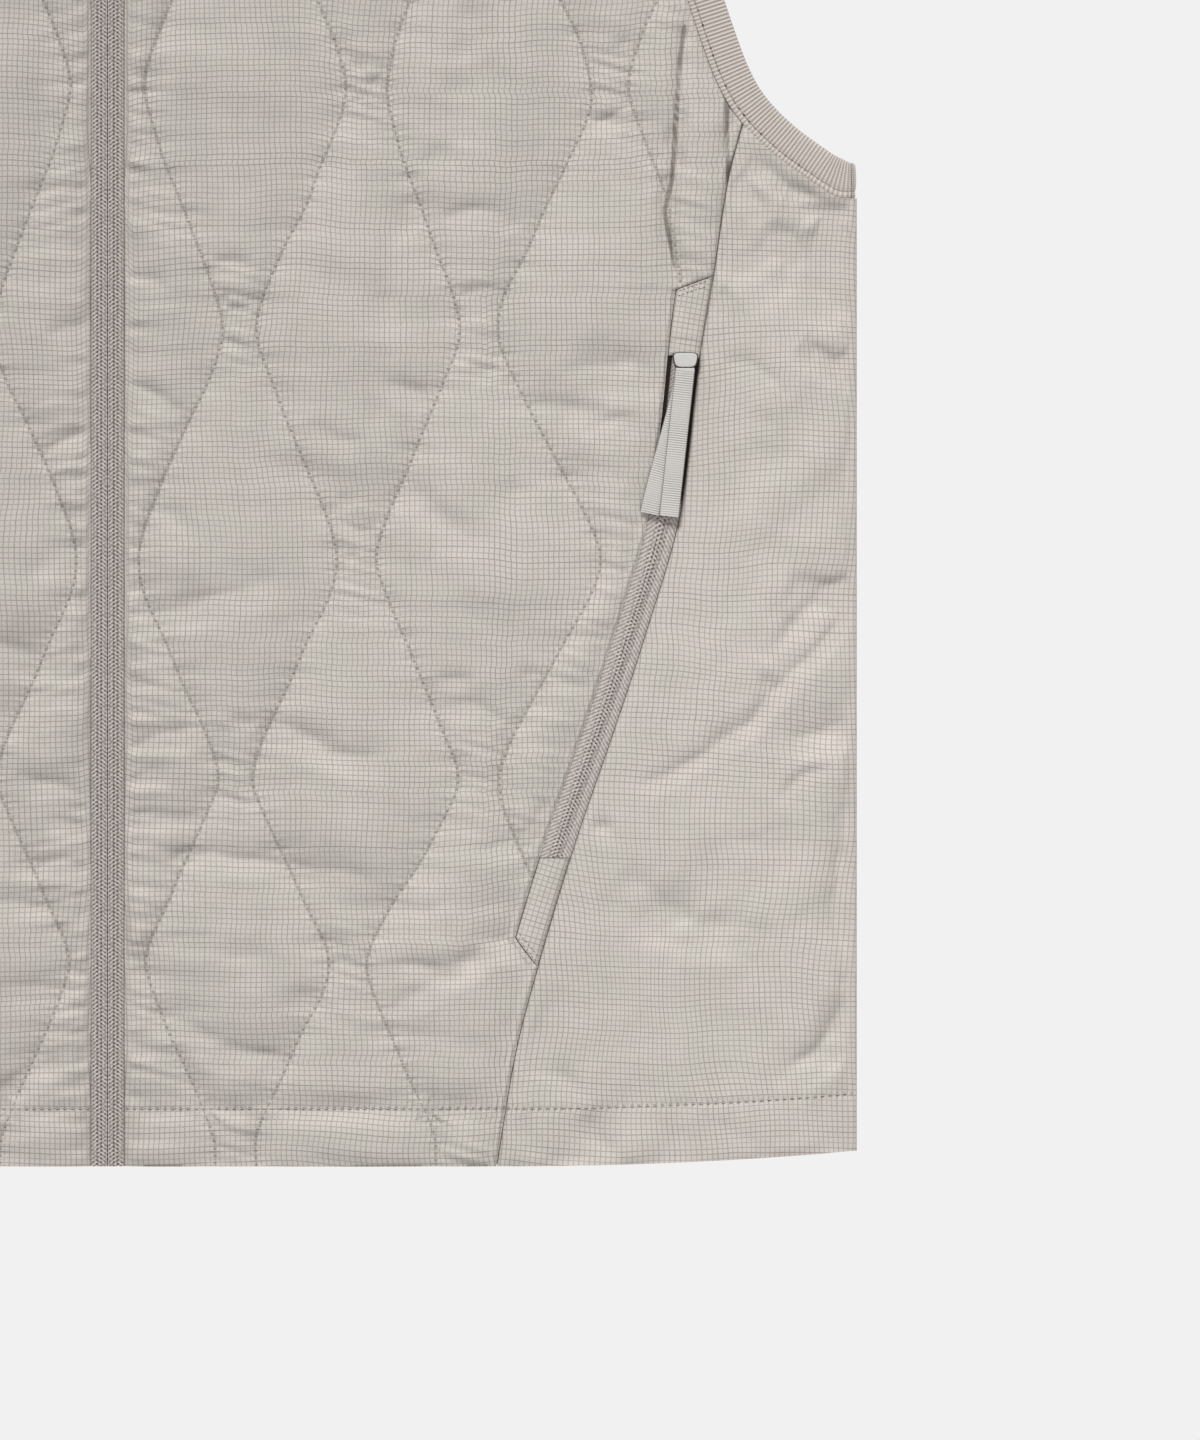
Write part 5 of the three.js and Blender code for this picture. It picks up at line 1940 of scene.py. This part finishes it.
@dataclass
class Pocket:
    """One side pocket: its zip, slider and ribbon pull between two tabs of body cloth."""

    side: Side
    ring_pitch: float = 0.5
    mouth: float = 254.0
    mouth_drop: float = 0.6
    tab_rise: float = 0.95
    tab_roll: tuple[float, float] = (0.8, 0.05)

    def strip(self, low: Array, high: Array, section: Array, pitch: float) -> tuple[Array, Array]:
        """Rows of points on a strip of the pocket, from its lower to its upper end.

        Args:
            low: height of the lower end at each column.
            high: height of the upper end at each column.
            section: share across and height of each column.
            pitch: about how far apart the rows are.

        Returns:
            The points, and their places along and across the strip.
        """
        count = max(3, round(float(high.mean() - low.mean()) / pitch))
        up = np.linspace(0, 1, count + 1)[:, None]
        y = lerp(low[None], high[None], up)
        width = side_seam_x(y) - SEAM_GAP / 2 - pocket_x(y)
        x = pocket_x(y) + width * section[:, 0]
        z = FRONT_UNDER + np.broadcast_to(section[:, 1], x.shape)
        slope = (side_seam_x(y + 2) - side_seam_x(y - 2)) / 4
        lean = np.sqrt(1 + slope**2)
        across = (section[:, 0] - 0.5) * width / lean
        along = (y - low.mean()) * lean + across * slope
        return np.stack([x, y, z], -1), np.stack([across, along], -1)

    def zip(self) -> Cut:
        """The knitted tape over its coil, whose edges sink where the pocket's mouth opens.

        Returns:
            The shape.
        """
        share = np.array(ZIP_SHARES)
        off = np.abs(share - 0.5)
        coil = smooth_step(0.5 - off, 0.3, 0.42) * COIL_RISE
        top = TAPE_WALL + coil - 0.35 * (off > 0.46) - 0.14 * (off < 0.02)
        section = np.stack([share, top], -1)
        ends = np.full(len(share), ZIP_LOW + SEAM_GAP), np.full(len(share), ZIP_HIGH - 0.2)
        points, cloth = self.strip(*ends, section, self.ring_pitch)
        open_share = smooth_step(points[..., 1], self.mouth, self.mouth + 10)
        points[..., 2] -= open_share * smooth_step(off, 0.26, 0.4) * self.mouth_drop
        # stretches the map across the tape where the mouth opens, so that the zip tape's painted edge shade
        # and mouth shadow reach in from its edges
        cloth[..., 0] *= 1 + 0.45 * open_share
        return self.closed(points, cloth)

    def closed(self, top: Array, cloth: Array) -> Cut:
        """A strip's rows closed by a flat underside.

        Args:
            top: the rows of points.
            cloth: their places on the cloth.

        Returns:
            The shape, with no sewing on it.
        """
        under = top[:, [-1, 0]] * [1, 1, 0] + [0, 0, FRONT_UNDER]
        rings = np.concatenate([top, under], 1)
        cloth = np.concatenate([cloth, cloth[:, [-1, 0]]], 1)
        return loft(rings, {"cloth": cloth, "stitch": np.full_like(cloth, UNSEWN)})

    def tab(self, low: Array, high: Array, folds: Sequence[Crease]) -> tuple[Cut, Array]:
        """A tab of body cloth, rounded across, with the seam's edges turned down.

        Args:
            low: height of its lower end at each column.
            high: height of its upper end at each column.
            folds: creases on it.

        Returns:
            The shape, and its top's points, row by row.
        """
        share = self.tab_shares()
        drop, reach = self.tab_roll
        rise = SIDE_WALL + self.tab_rise * np.sin(np.pi * share) ** 0.7
        for off in (share, 1 - share):
            rise = rise - drop * bell(off, reach)
        points, cloth = self.strip(low, high, np.stack([share, rise], -1), 0.7)
        x, y = points[..., 0], points[..., 1]
        points[..., 2] += sum(fold.relief(x, y) for fold in folds)
        points[..., 2] += noise(x / 5, y / 4, 29) * 0.12 * np.sin(np.pi * share)
        return self.closed(points, cloth), points

    def tab_shares(self) -> Array:
        """Shares across a tab at which its columns lie, closer together at its edges."""
        even = np.linspace(0, 1, 23)
        return 0.5 * even + 0.5 * (0.5 - 0.5 * np.cos(np.pi * even))

    def build(self, vest: Vest) -> None:
        """Makes all the pocket's pieces and dresses their solids.

        Args:
            vest: what all the pieces share.
        """
        side, word = self.side, self.side.word
        shape, node = Slider(x=225.2, y=314.1, width=10.8, length=6.0).cut(), "pocket_slider_" + word
        slider = vest.add(shape, "moulded_" + node, side, "slider_plastic", node)
        node = "pocket_pull_" + word
        pull = vest.add(POCKET_PULL.cut(), "grosgrain_" + node, side, "ribbon", node)
        node = "pocket_zip_" + word
        tape = vest.add(self.zip(), "knitted_" + node, side, "zip_tape", node)
        share = self.tab_shares()
        low = lerp(TAB_LOW, SEAM_LOW, share)
        lower, lower_top = self.tab(low, np.full_like(share, ZIP_LOW), ())
        arch = ZIP_HIGH - 1.4 + 1.6 * np.sin(np.pi * share) - 1.2 * share
        upper, upper_top = self.tab(arch, lerp(TAB_HIGH, SEAM_HIGH, share) - 0.2, TAB_FOLDS)
        runs = StitchRuns(pitch=1.7, length=1.05, width=0.4, height=0.3)
        for name, shape, size in (("lower", lower, 0.041), ("upper", upper, 0.0295)):
            node = f"pocket_{name}_tab_{word}"
            piece = vest.add(shape, "cloth_" + node, side, "body_cloth", node)
            0.0118 * size * 0.9
        for row in (lower_top[1], lower_top[4], upper_top[-2], upper_top[-5]):
            runs.add(row[2:-2] + [0, 0, STITCH_LIFT])
        vest.sew(runs, "pocket_stitches_" + word, side, "body_cloth")


@dataclass
class FrontZip:
    """The front zip: two knitted tapes that meet over the coil, a slider and a ribbon pull."""

    ring_pitch: float = 1.6

    def tape(self) -> Cut:
        """The left tape: a section with the coil's half ridge at the middle, carried up the front.

        Returns:
            The shape.
        """
        x = np.array([0.15, 0.3, 0.8, 1.5, 2.0, 2.6, 3.4, 4.4, 5.4, 6.0, 6.3])
        rise = COIL_RISE * (1 - smooth_step(x, 1.7, 2.7))
        top = FRONT_UNDER + TAPE_WALL + rise - 0.25 * bell(x - 0.15, 0.25)
        top = top - 0.35 * smooth_step(x, 5.8, 6.3)
        length = NECK_SEAM_FRONT + BINDING_WIDTH - 1
        y = np.linspace(0, length, round(length / self.ring_pitch))
        place, height = (np.tile(part, (len(y), 1)) for part in (x, top))
        grid = np.stack([place, np.repeat(y[:, None], len(x), 1), height], -1)
        under = grid[:, [-1, 0]] * [1, 1, 0] + [0, 0, FRONT_UNDER]
        rings = np.concatenate([grid, under], 1)
        # centred across the tape, so that none of the zip tape's painted edge shade or mouth shadow falls
        # on it
        return loft(rings, {"cloth": rings[..., :2] - [3.2, 0]})

    def build(self, vest: Vest) -> None:
        """Makes both tapes, the slider and the pull, and dresses their solids.

        Args:
            vest: what all the pieces share.
        """
        for side in Side:
            node = "front_zip_tape_" + side.word
            vest.add(self.tape(), "knitted_" + node, side, "zip_tape", node)
        slider = Slider(x=0, y=593.2, width=9.5, length=10.4).cut()
        vest.add(slider, "moulded_front_slider", Side.LEFT, "slider_plastic", "front_zip_slider")
        vest.add(FRONT_PULL.cut(), "grosgrain_front_pull", Side.LEFT, "ribbon", "front_zip_pull")


@dataclass
class BackPanel:
    """The quilted back panel: flat below, where it rests, with its wave quilting pressed in."""

    pitch: float = 3.0
    columns: int = 48
    row_steps: int = 8
    groove: tuple[float, float] = (0.55, 2.2)

    def back_seam(self, up: Array) -> Array:
        """Places of the seam to the side panel, at shares of the way up it.

        Args:
            up: the shares.

        Returns:
            The plan points.
        """
        low = np.array([BACK_SEAM_HEM_X, float(hem_y(np.array(BACK_SEAM_HEM_X)))])
        high = ARMHOLE_SEAM[BACK_MEET] - [0, SEAM_GAP / 2]
        return lerp(low, high, up[:, None]) - [SEAM_GAP, 0]

    def half(self) -> tuple[Array, Array]:
        """Rows of plan points on the left half, and how far each is from a line of quilting.

        Returns:
            The points and the distances.
        """
        level = level_rows(self.pitch)
        right = self.back_seam(level / level[-1])
        top = len(ARMHOLE_SEAM) - 1
        row = np.arange(BACK_MEET * self.row_steps + 1, top * self.row_steps + 1) / self.row_steps
        arm = armhole_at(row)
        neck_row = NECK_ROW + 1.5
        share = np.clip((row - neck_row) / (top - neck_row), 0, 1)
        rise = np.clip((row - BACK_MEET) / (neck_row - BACK_MEET), 0, 1)
        centre = np.stack([0 * rise, lerp(right[-1, 1], NECK_SEAM_BACK, rise)], -1)
        inner = np.where((share > 0)[:, None], back_neck_at(share), centre)
        left = np.concatenate([np.stack([0 * right[:, 0], level / level[-1] * right[-1, 1]], -1), inner])
        right = np.concatenate([right, arm])
        u = np.linspace(0, 1, self.columns + 1)[None, :, None]
        plan = lerp(left[:, None], right[:, None], u)
        x, y = plan[..., 0], plan[..., 1]
        off = np.min([np.abs(x - line.x_at(y)) for line in QUILT_LINES], axis=0)
        return plan, off

    def cut(self) -> Cut:
        """The panel's closed form: a grid for each face of each half, with walls along its edge.

        Returns:
            The shape, with the points that both halves share at the centre made one.
        """
        plan, off = self.half()
        rows, columns = plan.shape[:2]
        depth, reach = self.groove
        groove = depth * bell(off, reach)
        outer = np.concatenate([plan, groove[..., None]], -1)
        inner = np.concatenate([plan, (BACK_WALL - 0.4 * groove)[..., None]], -1)
        grid = grid_faces(rows, columns)
        ring = np.arange(rows * columns).reshape(rows, columns)
        on_neck = plan[:, 0, 0] > 1e-6
        on_seam = ring[:-1, 0][on_neck[:-1]][::-1]
        first_centre = ring[np.nonzero(on_neck)[0][0] - 1, 0]
        edge = np.concatenate([ring[0], ring[1:, -1], ring[-1, -2::-1], on_seam, [first_centre]])
        size = rows * columns
        walls = np.stack([edge[:-1], edge[1:], edge[1:] + size, edge[:-1] + size], -1)
        half_faces = np.concatenate([grid[:, ::-1], grid + size, walls])
        half = np.concatenate([outer.reshape(-1, 3), inner.reshape(-1, 3)])
        points = np.concatenate([half, half * [-1, 1, 1]])
        faces = np.concatenate([half_faces, half_faces[:, ::-1] + len(half)])
        _, first, index = np.unique(np.round(points, 4), axis=0, return_index=True, return_inverse=True)
        points = points[first]
        index = index.reshape(-1)
        stitch = np.tile(np.concatenate([off.ravel(), off.ravel() + UNSEWN]), 2)[first]
        maps = {"cloth": points[:, :2], "stitch": np.stack([stitch, points[:, 1]], -1)}
        return Cut(points, facing_out(points, [index[faces]]), maps)

    def build(self, vest: Vest) -> None:
        """Makes the panel and dresses its solid.

        Args:
            vest: what all the pieces share.
        """
        piece = vest.add(self.cut(), "quilted_back_panel", Side.LEFT, "body_cloth", "back_panel")


@dataclass
class Studio:
    """Plain pale floor, soft studio light and the camera straight above the photographed part."""

    view_centre: tuple[float, float] = (191.9, 173.9)
    view_width: float = 468.0
    lens: float = 300.0
    sensor: float = 36.0
    floor_color: tuple = srgb(241, 241, 241)
    floor_reach: float = 6.0
    floor_drop: float = 0.0004
    sky_power: float = 0.34
    sun_power: float = 2.35
    sun_size: float = 15.0
    sun_tilt: float = 50.0
    lamp_power: float = 0.96
    lamp_size: float = 0.4
    lamp_place: tuple[float, float, float] = (0.44, -0.17, 0.6)

    def floor(self) -> None:
        """A broad sheet just below the vest, lit from within, so that it takes no shadow."""
        mesh = bpy.data.meshes.new("floor")
        reach = self.floor_reach
        ways = ((-1, -1), (1, -1), (1, 1), (-1, 1))
        mesh.from_pydata([(x * reach, y * reach, -self.floor_drop) for x, y in ways], [], [(0, 1, 2, 3)])
        tree = Tree("floor")
        grain = tree.noise(tree.object_place(), 30, 1)
        glow = tree.mix(grain * 0.02, self.floor_color, (0.8, 0.8, 0.8, 1))
        values = {"Base Color": (0, 0, 0, 1), "Emission Color": glow, "Emission Strength": 1.0}
        mesh.materials.append(tree.finish(None, 0, values | {"Roughness": 1.0, "Specular IOR Level": 0.0}))
        floor = bpy.data.objects.new("floor", mesh)
        bpy.context.scene.collection.objects.link(floor)
        floor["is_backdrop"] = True

    def light(self) -> None:
        """An even sky, one soft sun from the upper left and a broad lamp above the vest's left side."""
        world = bpy.data.worlds.new("studio")
        bpy.context.scene.world = world
        world.use_nodes = True
        background = world.node_tree.nodes["Background"].inputs
        background["Color"].default_value = (1, 1, 1, 1)
        background["Strength"].default_value = self.sky_power
        key = bpy.data.lights.new("key", "SUN")
        key.energy = self.sun_power
        key.angle = math.radians(self.sun_size)
        sun = bpy.data.objects.new("key", key)
        sun.rotation_euler = (0, math.radians(-self.sun_tilt), -LIGHT_TURN)
        lamp = bpy.data.lights.new("side_lamp", "AREA")
        lamp.energy = self.lamp_power
        lamp.size = self.lamp_size
        panel = bpy.data.objects.new("side_lamp", lamp)
        panel.location = self.lamp_place
        panel.visible_camera = False
        for source in (sun, panel):
            bpy.context.scene.collection.objects.link(source)

    def camera(self) -> None:
        """A long lens straight above, level with the photograph's frame."""
        data = bpy.data.cameras.new("camera")
        data.lens = self.lens
        data.sensor_fit = "HORIZONTAL"
        data.sensor_width = self.sensor
        data.clip_end = 50
        camera = bpy.data.objects.new("camera", data)
        x, y = self.view_centre
        distance = self.lens / self.sensor * self.view_width
        camera.location = (x * MM, (y + Vest.hem) * MM, distance * MM)
        bpy.context.scene.collection.objects.link(camera)
        bpy.context.scene.camera = camera

    def build(self) -> None:
        """Sets the whole studio up."""
        self.floor()
        self.light()
        self.camera()
        bpy.context.scene.view_settings.view_transform = "Standard"
        bpy.context.scene.view_settings.look = "None"


def main() -> None:
    """Builds the dressed vest."""
    logging.basicConfig(level=logging.INFO, format="%(name)s: %(message)s")
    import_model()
    cad_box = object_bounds()
    vest = Vest(cad_box[0][1])
    for side in Side:
        FrontPanel(side).build(vest)
        SidePanel(side).build(vest)
        ArmholeBinding(side).build(vest)
        Pocket(side).build(vest)
    NeckBinding().build(vest)
    FrontZip().build(vest)
    BackPanel().build(vest)
    Studio().build()


if __name__ == "__main__":
    main()
